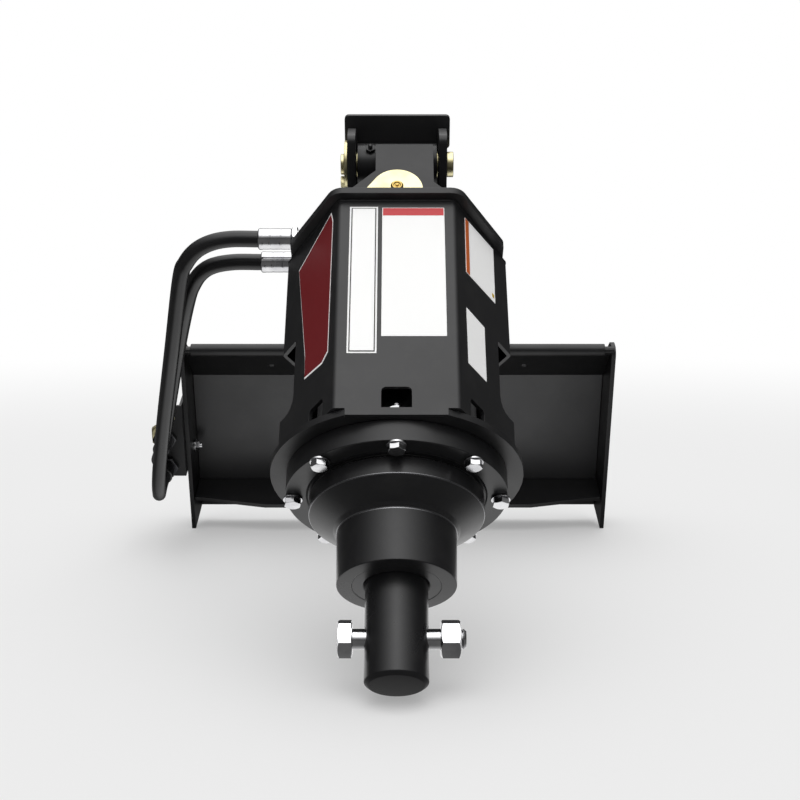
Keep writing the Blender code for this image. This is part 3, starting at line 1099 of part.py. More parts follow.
def main():
    clear_scene()
    paint = finish("black_paint", (0.03, 0.03, 0.032), 0.42, 0.0)
    zinc = finish("yellow_zinc", (0.72, 0.64, 0.42), 0.35, 0.9)
    chrome = finish("bright_plating", (0.78, 0.79, 0.8), 0.22, 1.0)
    steel = finish("machined_steel", (0.42, 0.43, 0.44), 0.4, 1.0)
    bronze = finish("bronze", (0.55, 0.4, 0.2), 0.4, 0.9)
    brass = finish("brass", (0.72, 0.55, 0.2), 0.3, 1.0)
    rubber = finish("hose_rubber", (0.025, 0.025, 0.027), 0.6, 0.0)
    dark = finish("dark_plating", (0.06, 0.06, 0.065), 0.4, 0.6)
    axes = make_axes()
    frame, drive = axes["frame"], axes["drive"]
    side_plates(frame, paint)
    mount_face(frame, paint)
    top_flange(frame, paint)
    bottom_shelf(frame, paint)
    boom(frame, paint)
    cap_plate(frame, paint)
    upper_pin(frame, zinc, steel)
    coupler_bracket(frame, paint, chrome)
    couplers(frame, zinc, dark)
    hose("hose_front", HOSE_FRONT_ROUTE, frame, rubber)
    hose("hose_rear", HOSE_REAR_ROUTE, frame, rubber)
    knuckle(axes["knuckle"], paint, bronze, dark)
    ears(drive, paint)
    lower_pin(drive, zinc, brass, steel)
    rim_plate(drive, paint)
    hood(drive, paint)
    ring_plate(drive, paint)
    motor(drive, paint)
    gear_case(drive, steel)
    gearbox_cover(drive, paint)
    shaft_bearing(drive, steel)
    flange_bolts(drive, chrome)
    hose_ports(drive, dark, chrome)
    gears(axes, steel)
    output_shaft(axes["shaft"], paint)
    cross_bolt(axes["shaft"], chrome)


main()
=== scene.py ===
# %% [markdown]
# # An earth auger drive in a white studio
# The drive is a hydraulic gearbox in a six-sided steel hood. It hangs by a knuckle from a boom on a loader's
# mount plate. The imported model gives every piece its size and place. This script gives each piece its fine
# shape and its finish, and it never moves a piece of that frame.

# %% Load the frame
import json
import math

import bmesh
import bpy
from mathutils import Matrix, Vector


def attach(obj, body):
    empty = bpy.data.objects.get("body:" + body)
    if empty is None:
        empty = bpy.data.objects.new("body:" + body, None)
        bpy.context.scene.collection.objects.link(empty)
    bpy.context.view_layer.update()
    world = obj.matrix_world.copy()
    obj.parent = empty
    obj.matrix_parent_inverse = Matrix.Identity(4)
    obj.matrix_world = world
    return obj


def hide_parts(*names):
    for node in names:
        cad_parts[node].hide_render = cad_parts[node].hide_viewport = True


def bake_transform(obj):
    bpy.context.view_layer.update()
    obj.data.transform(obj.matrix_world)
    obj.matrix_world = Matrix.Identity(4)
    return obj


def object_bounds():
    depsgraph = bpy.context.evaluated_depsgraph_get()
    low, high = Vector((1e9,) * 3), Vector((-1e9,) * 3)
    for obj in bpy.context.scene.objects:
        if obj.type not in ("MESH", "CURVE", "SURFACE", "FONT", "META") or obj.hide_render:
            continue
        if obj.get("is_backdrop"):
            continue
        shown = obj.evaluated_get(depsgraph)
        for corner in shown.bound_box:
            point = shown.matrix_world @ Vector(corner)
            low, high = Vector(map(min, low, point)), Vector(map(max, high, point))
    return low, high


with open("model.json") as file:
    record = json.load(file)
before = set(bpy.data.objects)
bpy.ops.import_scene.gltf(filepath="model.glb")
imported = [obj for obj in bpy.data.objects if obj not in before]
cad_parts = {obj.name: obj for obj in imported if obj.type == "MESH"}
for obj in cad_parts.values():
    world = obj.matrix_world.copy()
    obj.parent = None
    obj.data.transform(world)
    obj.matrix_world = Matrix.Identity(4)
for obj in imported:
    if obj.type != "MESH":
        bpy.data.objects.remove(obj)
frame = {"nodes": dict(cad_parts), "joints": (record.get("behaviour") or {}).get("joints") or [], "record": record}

cad_low, cad_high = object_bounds()
nodes = frame["nodes"]
print("frame:", len(nodes), "nodes, size", [round(v, 3) for v in cad_high - cad_low])

# %% [markdown]
# ## Three sets of axes
# The drive, the knuckle and the mount plate each lean at their own angle. It is easier to shape a piece upright
# and turn it once than to work in tilted numbers. The joints' axes and the plate's mount in the frame say how
# each part leans, so the axes are read from there and nothing is typed twice.

# %% Axes of the drive, the knuckle and the plate
MM = 0.001
RIGHT = Vector((1.0, 0.0, 0.0))
joints = {joint["name"]: joint for joint in frame["joints"]}


def axes_at(origin, up):
    """Axes with X to the right, Z along up and Y to the rear, as a matrix."""
    up = Vector(up).normalized()
    back = up.cross(RIGHT)
    matrix = Matrix((RIGHT, back, up)).transposed().to_4x4()
    matrix.translation = Vector(origin)
    return matrix


def extent(node, axes):
    """Lowest and highest corner of a CAD node, measured in a set of axes."""
    inverse = axes.inverted()
    points = [inverse @ vertex.co for vertex in nodes[node].data.vertices]
    low = Vector(min(p[i] for p in points) for i in range(3))
    high = Vector(max(p[i] for p in points) for i in range(3))
    return low, high


spin = joints["shaft_spin"]
drive_up = -Vector(spin["axis"])
drive = axes_at(spin["pos_m"], drive_up)
knuckle = axes_at(joints["knuckle_swing"]["pos_m"], drive_up)
lower_pin = axes_at(joints["side_swing"]["pos_m"], drive_up)
mounts = {mount["name"]: mount for mount in frame["record"]["mounts"]}
rear = Vector(mounts["plate_rear_face"]["axis"])
plate = axes_at((0.0, 0.0, 0.0), RIGHT.cross(rear))
corners = [plate.inverted() @ vertex.co for vertex in nodes["side_plate_left"].data.vertices]
tip = min(corners, key=lambda corner: round(corner.z, 4) * 100 + corner.y)
plate.translation = plate.to_3x3() @ Vector((0.0, tip.y, tip.z))
FLOOR = cad_low.z
print("plate leans", round(math.degrees(math.atan2(rear.z, rear.y)), 2), "degrees; floor at", round(FLOOR, 4))

# %% [markdown]
# ## The camera
# The photograph was matched by comparing edges of known size, which gave the distance, the height and the
# field of view. They are written here as real sizes from the plate's lower front tips.

# %% Camera
CAMERA_AHEAD = 1527.6 * MM
CAMERA_UP = 907.8 * MM
CAMERA_RIGHT = 2.7 * MM
CAMERA_PITCH = math.radians(25.485)
FOCAL = 63.0
SENSOR = 36.0

lens = bpy.data.cameras.new("camera")
lens.lens = FOCAL
lens.sensor_width = SENSOR
lens.clip_start = 0.05
camera = bpy.data.objects.new("camera", lens)
bpy.context.scene.collection.objects.link(camera)
look = Matrix.Rotation(math.pi / 2 - CAMERA_PITCH, 4, 'X')
camera.matrix_world = plate @ Matrix.Translation((CAMERA_RIGHT, -CAMERA_AHEAD, CAMERA_UP)) @ look
bpy.context.scene.camera = camera
print("camera at", [round(v, 3) for v in camera.matrix_world.translation])

# %% [markdown]
# ## Helpers for nodes and objects
# A shader is a tree of nodes, and a script needs several lines to add one node, set it and link it. The first
# helper does that in a single call, so a tree reads from top to bottom like a list. The second is the node that is
# used most, and the third puts a bmesh into the scene.

# %% Helpers for nodes and objects
def wired(tree, kind, inputs=(), **settings):
    """Adds a node, sets its properties and fills its inputs with values or links."""
    item = tree.nodes.new(kind)
    for key, value in settings.items():
        setattr(item, key, value)
    for slot, value in dict(inputs).items():
        if isinstance(value, bpy.types.NodeSocket):
            tree.links.new(value, item.inputs[slot])
        else:
            item.inputs[slot].default_value = value
    return item


def ranged(tree, source, low, high, start=0.3, end=0.7):
    """Maps a value from start..end to low..high; low and high may be sockets."""
    return wired(tree, "ShaderNodeMapRange", {"Value": source, "From Min": start, "From Max": end, "To Min": low,
                                               "To Max": high}).outputs["Result"]


def thing_of(name, bm):
    """Puts a bmesh into the scene as an object."""
    mesh = bpy.data.meshes.new(name)
    bm.to_mesh(mesh)
    bm.free()
    thing = bpy.data.objects.new(name, mesh)
    bpy.context.scene.collection.objects.link(thing)
    return thing


# %% [markdown]
# ## White floor
# Product pictures like this one are shot on white paper under one large soft light. The floor is a flat sheet
# whose paper glows a little to the camera and fades to pure white far out, so no horizon shows and only a soft
# shadow stays under the drive. Mirrors show the floor in front as dark, as a studio does where its lamps don't
# reach.

# %% Floor
FLOOR_HALF = 14.0
FLOOR_DROP = 0.05 * MM
FADE_START = 1.0            # paper turns from lit to pure white between these distances
FADE_END = 3.4
PAPER_WHITE = 0.55
PAPER_GLOW = 0.33
MIRROR_LIGHT = 1.05         # floor's brightness in reflections, below the drive
MIRROR_DARK = 0.11          # and farther out
MIRROR_START = 0.27         # metres from the part's middle
MIRROR_END = 0.38


def make_floor(middle):
    """Large white sheet under the object."""
    bm = bmesh.new()
    bmesh.ops.create_grid(bm, x_segments=1, y_segments=1, size=FLOOR_HALF)
    bmesh.ops.translate(bm, vec=(0.0, 0.0, FLOOR - FLOOR_DROP), verts=bm.verts)
    sheet = thing_of("floor", bm)
    paper = bpy.data.materials.new("white_paper")
    paper.use_nodes = True
    tree = paper.node_tree
    tree.nodes.clear()
    spot = wired(tree, "ShaderNodeNewGeometry").outputs["Position"]
    away = wired(tree, "ShaderNodeVectorMath", {0: spot, 1: (middle.x, middle.y, FLOOR)},
                 operation='DISTANCE').outputs["Value"]
    fade = wired(tree, "ShaderNodeMapRange", {"Value": away, "From Min": FADE_START, "From Max": FADE_END},
                 interpolation_type='SMOOTHSTEP').outputs["Result"]
    lit = wired(tree, "ShaderNodeBsdfDiffuse", {"Color": (*[PAPER_WHITE] * 3, 1.0)}).outputs[0]
    glow = wired(tree, "ShaderNodeEmission", {"Strength": PAPER_GLOW}).outputs[0]
    seen = wired(tree, "ShaderNodeAddShader", {0: lit, 1: glow}).outputs[0]
    white = wired(tree, "ShaderNodeEmission", {"Strength": 1.0}).outputs[0]
    seen = wired(tree, "ShaderNodeMixShader", {0: fade, 1: seen, 2: white}).outputs[0]
    level = ranged(tree, away, MIRROR_LIGHT, MIRROR_DARK, MIRROR_START, MIRROR_END)
    mirrored = wired(tree, "ShaderNodeEmission", {"Strength": level}).outputs[0]
    ray = wired(tree, "ShaderNodeLightPath").outputs
    other = wired(tree, "ShaderNodeMixShader", {0: ray["Is Glossy Ray"], 1: lit, 2: mirrored}).outputs[0]
    every = wired(tree, "ShaderNodeMixShader", {0: ray["Is Camera Ray"], 1: other, 2: seen}).outputs[0]
    wired(tree, "ShaderNodeOutputMaterial", {"Surface": every})
    sheet.data.materials.append(paper)
    sheet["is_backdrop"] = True


make_floor((cad_low + cad_high) / 2)
print("floor reaches", FLOOR_HALF, "m each way")

# %% [markdown]
# ## Sky
# A black drive is lit by what it mirrors. The sky is bright overhead and dark near the horizon, so faces that lean
# back shine and walls that face sideways stay nearly black. It is made of a few soft round lights on the world
# itself, since lamps would be seen in the plated bolts. The camera sees plain white.

# %% Sky
SKY_LOW = 0.05
SKY_LIGHTS = (((0.0, -0.24, 0.97), 4.2, 1.95),      # way to the light, how tight it is, how bright
              ((0.0, -0.62, 0.78), 26.0, 1.3),
              ((0.0, 0.52, 0.85), 10.0, 1.6))


def make_sky():
    """World that is white to the camera and, for all other rays, brightest overhead."""
    world = bpy.data.worlds.new("studio")
    world.use_nodes = True
    bpy.context.scene.world = world
    tree = world.node_tree
    tree.nodes.clear()
    place = wired(tree, "ShaderNodeTexCoord").outputs["Generated"]
    glow = wired(tree, "ShaderNodeValue").outputs[0]
    glow.default_value = SKY_LOW
    for way, power, strength in SKY_LIGHTS:
        near = wired(tree, "ShaderNodeVectorMath", {0: place, 1: way}, operation='DOT_PRODUCT').outputs["Value"]
        near = wired(tree, "ShaderNodeMath", {0: near, 1: 0.0}, operation='MAXIMUM').outputs[0]
        near = wired(tree, "ShaderNodeMath", {0: near, 1: power}, operation='POWER').outputs[0]
        glow = wired(tree, "ShaderNodeMath", {0: near, 1: strength, 2: glow}, operation='MULTIPLY_ADD').outputs[0]
    seen = wired(tree, "ShaderNodeLightPath").outputs["Is Camera Ray"]
    picked = wired(tree, "ShaderNodeMix", {"Factor": seen, "A": glow, "B": 1.0}).outputs["Result"]
    shade = wired(tree, "ShaderNodeBackground", {"Color": (1.0, 1.0, 1.0, 1.0), "Strength": picked}).outputs[0]
    wired(tree, "ShaderNodeOutputWorld", {"Surface": shade})


make_sky()
bpy.context.scene.view_settings.view_transform = 'Standard'
print("sky has", len(SKY_LIGHTS), "soft lights")

# %% [markdown]
# ## Shader groups
# Several finishes share the same small faults: the orange-peel skin of baked powder, fine scratches on plated
# steel, and a thin film of dust. Each is a node group with its own sockets, built once and set differently in
# each material. Object coordinates keep a pattern at its true size on every piece.

# %% Helpers for node groups
def new_group(name, inputs, mask):
    """Shader group with float inputs of a name and value; it gives a roughness, a normal and a mask."""
    group = bpy.data.node_groups.new(name, 'ShaderNodeTree')
    for label, value in inputs.items():
        group.interface.new_socket(label, in_out='INPUT', socket_type='NodeSocketFloat').default_value = value
    for label, kind in (("Roughness", 'Float'), ("Normal", 'Vector'), (mask, 'Float')):
        group.interface.new_socket(label, in_out='OUTPUT', socket_type=f"NodeSocket{kind}")
    place = wired(group, "ShaderNodeTexCoord").outputs["Object"]
    return group, wired(group, "NodeGroupInput").outputs, place


def noise_of(group, place, scale, detail=4.0, roughness=0.55):
    """Noise at a fixed scale, or at one fed by a socket."""
    return wired(group, "ShaderNodeTexNoise", {"Vector": place, "Scale": scale, "Detail": detail,
                                               "Roughness": roughness}).outputs["Fac"]


def close_group(group, gloss, height, strength, depth, mask_name, mask):
    """Bumps the surface by a height and links the group's three outputs."""
    bump = wired(group, "ShaderNodeBump", {"Distance": depth, "Strength": strength, "Height": height}).outputs["Normal"]
    wired(group, "NodeGroupOutput", {"Roughness": gloss, "Normal": bump, mask_name: mask})
    print("group:", group.name)
    return group


# %% [markdown]
# Powder coat is paint baked from dust, so its skin is never quite flat. One fine noise drives the bump, for the
# orange peel and the grit. A broader noise varies the gloss a little, so a highlight breaks up at its edge as it
# does on the real coat, and a third sets where a thin film of dust lies.

# %% Powder coat group
PATCH_SCALE = 14.0
FILM_SCALE = 38.0
PEEL_DEPTH = 0.2 * MM


def make_powder_group():
    sockets = {"Peel Size": 420.0, "Bump": 0.12, "Gloss Low": 0.36, "Gloss High": 0.5, "Dust": 0.1}
    group, entry, place = new_group("powder_skin", sockets, "Dust Mask")
    peel = noise_of(group, place, entry["Peel Size"], detail=2.0)
    patch = noise_of(group, place, PATCH_SCALE, detail=5.0, roughness=0.6)
    gloss = ranged(group, patch, entry["Gloss Low"], entry["Gloss High"])
    film = noise_of(group, place, FILM_SCALE, detail=6.0, roughness=0.65)
    dust = ranged(group, film, 0.0, entry["Dust"], 0.5, 0.85)
    return close_group(group, gloss, peel, entry["Bump"], PEEL_DEPTH, "Dust Mask", dust)


powder_group = make_powder_group()

# %% [markdown]
# Plated and turned steel shows fine marks. A stretched noise gives them a direction, and a mottled one gives
# plating its uneven tint. The group puts out a gloss, a mask for the tint and a normal.

# %% Metal marks group
BLOTCH_SCALE = 60.0
MARK_DEPTH = 0.1 * MM


def make_metal_group():
    sockets = {"Mark Size": 160.0, "Bump": 0.06, "Gloss Low": 0.2, "Gloss High": 0.36}
    group, entry, place = new_group("metal_marks", sockets, "Tint Mask")
    marks = noise_of(group, place, entry["Mark Size"], detail=6.0, roughness=0.7)
    blotch = noise_of(group, place, BLOTCH_SCALE, detail=3.0)
    gloss = ranged(group, marks, entry["Gloss Low"], entry["Gloss High"])
    tint = ranged(group, blotch, 0.0, 1.0, 0.38, 0.66)
    return close_group(group, gloss, marks, entry["Bump"], MARK_DEPTH, "Tint Mask", tint)


metal_group = make_metal_group()

# %% [markdown]
# ## Finishes
# Each material places one group, sets its sockets and mixes two close colours with the group's mask. Colours
# that stay the same all over are set on the shader itself.

# %% Materials
FILM_COLOUR = (0.2, 0.19, 0.18)


def finish(name, group, sockets, colours, mask, metallic=0.0, specular=0.5):
    """Material that mixes two colours by a group's mask and takes its gloss and normal from the group."""
    material = bpy.data.materials.new(name)
    material.use_nodes = True
    tree = material.node_tree
    shader = tree.nodes["Principled BSDF"]
    skin = wired(tree, "ShaderNodeGroup", node_tree=group)
    for label, value in sockets.items():
        skin.inputs[label].default_value = value
    mix = wired(tree, "ShaderNodeMix", {"Factor": skin.outputs[mask]}, data_type='RGBA')
    mix.inputs["A"].default_value = (*colours[0], 1.0)
    mix.inputs["B"].default_value = (*colours[1], 1.0)
    for label, source in (("Base Color", mix.outputs["Result"]), ("Roughness", skin.outputs["Roughness"]),
                          ("Normal", skin.outputs["Normal"])):
        tree.links.new(source, shader.inputs[label])
    shader.inputs["Metallic"].default_value = metallic
    shader.inputs["Specular IOR Level"].default_value = specular
    material.diffuse_color = (*colours[0], 1.0)
    return material


def powder(name, colour, dust=0.06, low=0.34, high=0.46, bump=0.1, specular=0.5):
    """Powder coat or other dull finish, from its least to its greatest roughness."""
    sockets = {"Dust": dust, "Gloss Low": low, "Gloss High": high, "Bump": bump}
    return finish(name, powder_group, sockets, (colour, FILM_COLOUR), "Dust Mask", specular=specular)


def metal(name, light, deep, low, high):
    """Metal of two close tints, from its least to its greatest roughness."""
    sockets = {"Gloss Low": low, "Gloss High": high, "Bump": 0.05, "Mark Size": 160.0}
    return finish(name, metal_group, sockets, (light, deep), "Tint Mask", metallic=1.0)


black = powder("black_powder_coat", (0.014, 0.014, 0.015))
# painted light: the mount face gets a lighter, glossier copy of the black coat, for the extra light it takes
painted_light_face_black = powder("face_coat_painted_light", (0.028, 0.028, 0.030), specular=0.75)
hood_black = powder("hood_powder_coat", (0.016, 0.016, 0.017), low=0.28, high=0.38)
cast_black = powder("cast_black", (0.014, 0.014, 0.015), low=0.26, high=0.38, bump=0.12)
shaft_black = powder("shaft_black", (0.013, 0.013, 0.014), low=0.24, high=0.34, bump=0.06)
dark_steel = metal("dark_plating", (0.05, 0.05, 0.055), (0.09, 0.09, 0.09), 0.3, 0.45)
chrome = metal("bright_plating", (0.78, 0.78, 0.79), (0.62, 0.62, 0.64), 0.14, 0.24)
zinc = metal("yellow_zinc", (0.80, 0.74, 0.46), (0.72, 0.64, 0.36), 0.26, 0.38)
brass = metal("brass", (0.66, 0.48, 0.16), (0.46, 0.32, 0.10), 0.18, 0.3)
# painted highlight: a lighter, glossier metal laid on three turned edges of the cover
painted_edge_highlight = metal("painted_highlight_edge", (0.30, 0.30, 0.31), (0.22, 0.22, 0.23), 0.22, 0.34)
steel = metal("machined_steel", (0.55, 0.56, 0.57), (0.36, 0.36, 0.37), 0.26, 0.42)
bronze = metal("bronze", (0.60, 0.42, 0.2), (0.42, 0.3, 0.15), 0.3, 0.45)
rubber = powder("hose_rubber", (0.012, 0.012, 0.013), dust=0.05, low=0.26, high=0.38, bump=0.12)
print("materials:", len(bpy.data.materials))

# %% [markdown]
# ## Tools for pieces
# Four small tools make nearly every piece. A turned piece is a profile spun about an axis. A plate is an
# outline given a thickness. A hexagon is a ring pushed out to six flats, with its corners chamfered as a lathe
# cuts them. A refined node is a copy of a CAD node whose sharp edges get a small round, so they catch light.
# Weighted normals keep the flat faces beside such a round flat, so that only the round itself shades.

# %% Finished pieces
BODY_OF = {node: body for body, members in frame["record"]["behaviour"]["bodies"].items() for node in members}


def smoothed(piece, material, angle):
    """Shades a piece smooth but for edges sharper than an angle in degrees, and gives it a material."""
    piece.data.shade_smooth()
    piece.data.set_sharp_from_angle(angle=math.radians(angle))
    piece.data.materials.append(material)


def settle(name, bm, axes, material, stands_for=(), body=None, angle=32.0):
    """Turns a bmesh made in a set of axes into a finished piece of the scene."""
    bmesh.ops.transform(bm, matrix=axes, verts=bm.verts)
    piece = thing_of(name, bm)
    smoothed(piece, material, angle)
    even = piece.modifiers.new("even_normals", 'WEIGHTED_NORMAL')
    even.keep_sharp = True
    piece.data = bpy.data.meshes.new_from_object(piece.evaluated_get(bpy.context.evaluated_depsgraph_get()))
    piece.data.name = name
    piece.modifiers.clear()
    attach(piece, body or BODY_OF[stands_for[0]])
    if stands_for:
        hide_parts(*stands_for)
    print(f"{name}: {len(piece.data.polygons)} faces")
    return piece


# %% [markdown]
# A turned piece is a profile of radius and height, spun about an axis as on a lathe. Its corners are softened
# first, because a real edge is never sharp, and only a rounded one catches the light.

# %% Turned pieces
def faces_of(verts):
    return list({face for vert in verts for face in vert.link_faces})


AXIS_TURNS = {
    "x": Matrix(((0, 0, 1), (1, 0, 0), (0, 1, 0))).to_4x4(),
    "y": Matrix(((1, 0, 0), (0, 0, 1), (0, -1, 0))).to_4x4(),
    "z": Matrix.Identity(4),
}


def placed(bm, verts, axis, at):
    """Turns the faces of new vertices outwards, and the vertices from Z to an axis through a point."""
    bmesh.ops.recalc_face_normals(bm, faces=faces_of(verts))
    bmesh.ops.transform(bm, matrix=Matrix.Translation(at) @ AXIS_TURNS[axis], verts=verts)


def spun(bm, profile, axis="z", at=(0.0, 0.0, 0.0), steps=96):
    """Adds a profile of radius and height, spun about an axis through a point."""
    verts = [bm.verts.new((radius, 0.0, height)) for radius, height in profile]
    edges = [bm.edges.new(pair) for pair in zip(verts, verts[1:])]
    closed = profile[0][0] > 0.0
    if closed:
        edges.append(bm.edges.new((verts[-1], verts[0])))
    before = set(bm.verts) - set(verts)
    bmesh.ops.spin(bm, geom=verts + edges, cent=(0, 0, 0), axis=(0, 0, 1), angle=math.tau,
                   steps=steps, use_merge=True)
    made = [vert for vert in bm.verts if vert not in before]
    bmesh.ops.remove_doubles(bm, verts=made, dist=MM / 500)
    placed(bm, [vert for vert in bm.verts if vert not in before], axis, at)


CORNER_SHARE = 0.45         # a corner's round takes no more of a side than this


def softened(profile, radius, steps=3):
    """Rounds each corner of an open profile by up to a radius."""
    result = [profile[0]]
    for before, corner, after in zip(profile, profile[1:], profile[2:]):
        point = Vector(corner)
        back = Vector(before) - point
        on = Vector(after) - point
        reach = min(radius, back.length * CORNER_SHARE, on.length * CORNER_SHARE)
        if reach < MM / 50:
            result.append(corner)
            continue
        start = point + back.normalized() * reach
        end = point + on.normalized() * reach
        for step in range(steps + 1):
            t = step / steps
            result.append(tuple(start.lerp(point, t).lerp(point.lerp(end, t), t)))
    result.append(profile[-1])
    return result


def rod(radius, low, high, soft=0.3 * MM):
    """Profile of a rod with broken edges."""
    return softened([(0.0, low), (radius, low), (radius, high), (0.0, high)], soft)


def tube(inner, outer, low, high, soft):
    """Profile of a ring with broken outer edges; spun closes it along its bore."""
    return softened([(inner, low), (outer, low), (outer, high), (inner, high)], soft)


def turned(name, node, profile, axes, material, axis="z", at=(0.0, 0.0, 0.0), steps=96):
    """Piece made of one spun profile, standing for a node."""
    bm = bmesh.new()
    spun(bm, profile, axis, at, steps)
    settle(name, bm, axes, material, (node,))


def line_of(node, axes, axis):
    """Lowest and highest corner of a node, and the point where its middle line along an axis crosses zero."""
    low, high = extent(node, axes)
    at = (low + high) / 2
    at["xyz".index(axis)] = 0.0
    return low, high, at


# %% [markdown]
# A plate is drawn as an outline, extruded to its thickness and bevelled along its rims, as a cut plate is ground.

# %% Plates from an outline
def edged(bm, edges, width, segments):
    """Rounds edges by a width."""
    bmesh.ops.bevel(bm, geom=list(edges), offset=width, offset_type='OFFSET', affect='EDGES', segments=segments,
                    profile=0.5, clamp_overlap=True, material=-1)


def upright(bm, outline, low, high, edge, segments=2):
    """Adds a plate: an outline of x and z, thick from low to high along y, with rounded rims."""
    before = set(bm.verts)
    face = bm.faces.new([bm.verts.new((x, low, z)) for x, z in outline])
    raised = bmesh.ops.extrude_face_region(bm, geom=[face])["geom"]
    verts = [item for item in raised if isinstance(item, bmesh.types.BMVert)]
    bmesh.ops.translate(bm, vec=(0.0, high - low, 0.0), verts=verts)
    made = [vert for vert in bm.verts if vert not in before]
    bmesh.ops.recalc_face_normals(bm, faces=faces_of(made))
    rims = {e for vert in made for e in vert.link_edges if abs(e.verts[0].co.y - e.verts[1].co.y) < MM / 1000}
    edged(bm, rims, edge, segments)


# %% [markdown]
# A lathe cuts the corners of a bolt's head at 30 degrees, which leaves curved edges on its six flats. So a head is
# made of rings that follow the flats, and the end rings sink where a corner stands out.

# %% Hexagons
HEX_SIDE_STEPS = 6
HEX_CHAMFER = math.tan(math.radians(30))
HEX_FACE = 0.95             # round end face, as a share of the flats
HEX_CAP = 0.9               # inner ring of an end that isn't cut, as a share of the corners


def hexagon(bm, flats, low, high, axis="z", at=(0.0, 0.0, 0.0), turn=0.0, low_cut=True, high_cut=True):
    """Adds a hexagon between two levels, its corners chamfered at the ends that are cut."""
    count = 6 * HEX_SIDE_STEPS
    face = flats / 2 * HEX_FACE
    rings = []
    for level, cut, sign, flat in ((low, low_cut, 1, True), (low, low_cut, 1, False), (high, high_cut, -1, False),
                                   (high, high_cut, -1, True)):
        verts = []
        for i in range(count):
            angle = math.tau * i / count
            local = (angle + math.pi / 6) % (math.pi / 3) - math.pi / 6
            radius = flats / 2 / math.cos(local)
            rise = (radius - face) * HEX_CHAMFER if cut and not flat else 0.0
            if flat:
                radius = face if cut else radius * HEX_CAP
            verts.append(bm.verts.new((radius * math.cos(angle + turn), radius * math.sin(angle + turn),
                                       level + sign * rise)))
        rings.append([bm.edges.new((verts[i - 1], verts[i])) for i in range(count)])
    made = list({vert for ring in rings for edge in ring for vert in edge.verts})
    for ring, following in zip(rings, rings[1:]):
        bmesh.ops.bridge_loops(bm, edges=ring + following)
    bmesh.ops.holes_fill(bm, edges=rings[0] + rings[-1], sides=0)
    placed(bm, made, axis, at)


# %% [markdown]
# A CAD node is loose triangles with sharp edges. A copy of it is merged, its flat areas are joined, and the edges
# that turn sharply are rounded.

# %% Refined nodes
SHARP = math.radians(28)    # an edge of a CAD node that turns more than this is rounded
FLAT = math.radians(1)


def refined(node, material, edge=0.7 * MM, segments=2):
    """Copy of a CAD node with its sharp edges rounded, standing for the node."""
    bm = bmesh.new()
    bm.from_mesh(nodes[node].data)
    bmesh.ops.remove_doubles(bm, verts=bm.verts, dist=MM / 200)
    bmesh.ops.dissolve_limit(bm, angle_limit=FLAT, verts=bm.verts, edges=bm.edges)
    sharp = [e for e in bm.edges if len(e.link_faces) == 2 and e.calc_face_angle() > SHARP]
    edged(bm, sharp, edge, segments)
    return settle(f"{node}_dressed", bm, Matrix.Identity(4), material, (node,))


# %% [markdown]
# ## Plates and folded steel
# The mount plate, the boom and the rim are flame-cut or folded plate. Their outlines are already right in the
# frame. What plate has and a plain solid lacks is a softened edge, so each node is copied and its edges are
# rounded by about a millimetre. The recessed face is given a lighter black than the rest as painted light,
# to stand in for the extra light that it takes.

# %% Plates
PLATES = ("side_plate_left", "side_plate_right", "mount_face", "top_flange", "bottom_shelf", "boom_cheek_left",
          "boom_cheek_right", "boom_belly_plate", "boom_spine_plate", "cap_plate", "coupler_bracket",
          "rim_plate", "ear_front", "ear_rear", "knuckle_block")
BLOCK_SIDE = (-22.3 * MM, -19.0 * MM)   # the knuckle block's left face lies between these
BLOCK_TRIM = 1.5 * MM
# the mount face takes the lighter black, as painted light
dressed = {node: refined(node, painted_light_face_black if node == "mount_face" else black) for node in PLATES}
for vertex in dressed["knuckle_block"].data.vertices:
    place = knuckle.inverted() @ vertex.co
    if BLOCK_SIDE[0] < place.x < BLOCK_SIDE[1]:
        vertex.co = knuckle @ (place + Vector((BLOCK_TRIM, 0.0, 0.0)))
refined("hood", hood_black, edge=MM, segments=3)
print("plates:", len(PLATES) + 1)

# %% [markdown]
# ## The gearbox
# The cover is one casting turned in a lathe: a bolted flange, a stepped boss, a cone and a long collar round the
# shaft. On the real one each turned edge is broken with a small radius, and those radii are the only bright lines
# on the black paint. A revolve of a softened profile gives them in one piece, and three of them get a lighter,
# glossier metal finish of their own, which is a painted highlight.

# %% Cover, ring plate and seal
GAP = 0.3 * MM
SHAFT_R = 25.4 * MM
SEAL_R = 36.3 * MM
SEAL_DEPTH = 9.0 * MM
SEAL_LIP = 1.2 * MM
SEAL_FACE_R = SHAFT_R + 2.0 * MM
CASE_FOOT_R = 80.0 * MM
FLANGE_LOW = -19.5 * MM
UNDERCUT = 0.9 * MM
UNDERCUT_R = (75.75 * MM, 74.55 * MM)
BOSS_R = 73.15 * MM
BOSS_LOW = -37.6 * MM
GROOVE_R = 70.5 * MM
GROOVE_LOW = -21.7 * MM
CONE_END = (52.5 * MM, -51.2 * MM)
COLLAR_ROOT = (49.5 * MM, -54.9 * MM)
COLLAR_R = 48.7 * MM
SEAM = 9.0 * MM             # the profile starts in the middle of a flat face, this far in
COVER_EDGE = 0.8 * MM
# the turned corners that carry the painted highlight, and how far it reaches from each
HIGHLIT_CORNERS = ((BOSS_R, GROOVE_LOW), (BOSS_R, BOSS_LOW), COLLAR_ROOT)
HIGHLIGHT_WIDTH = 0.6 * MM

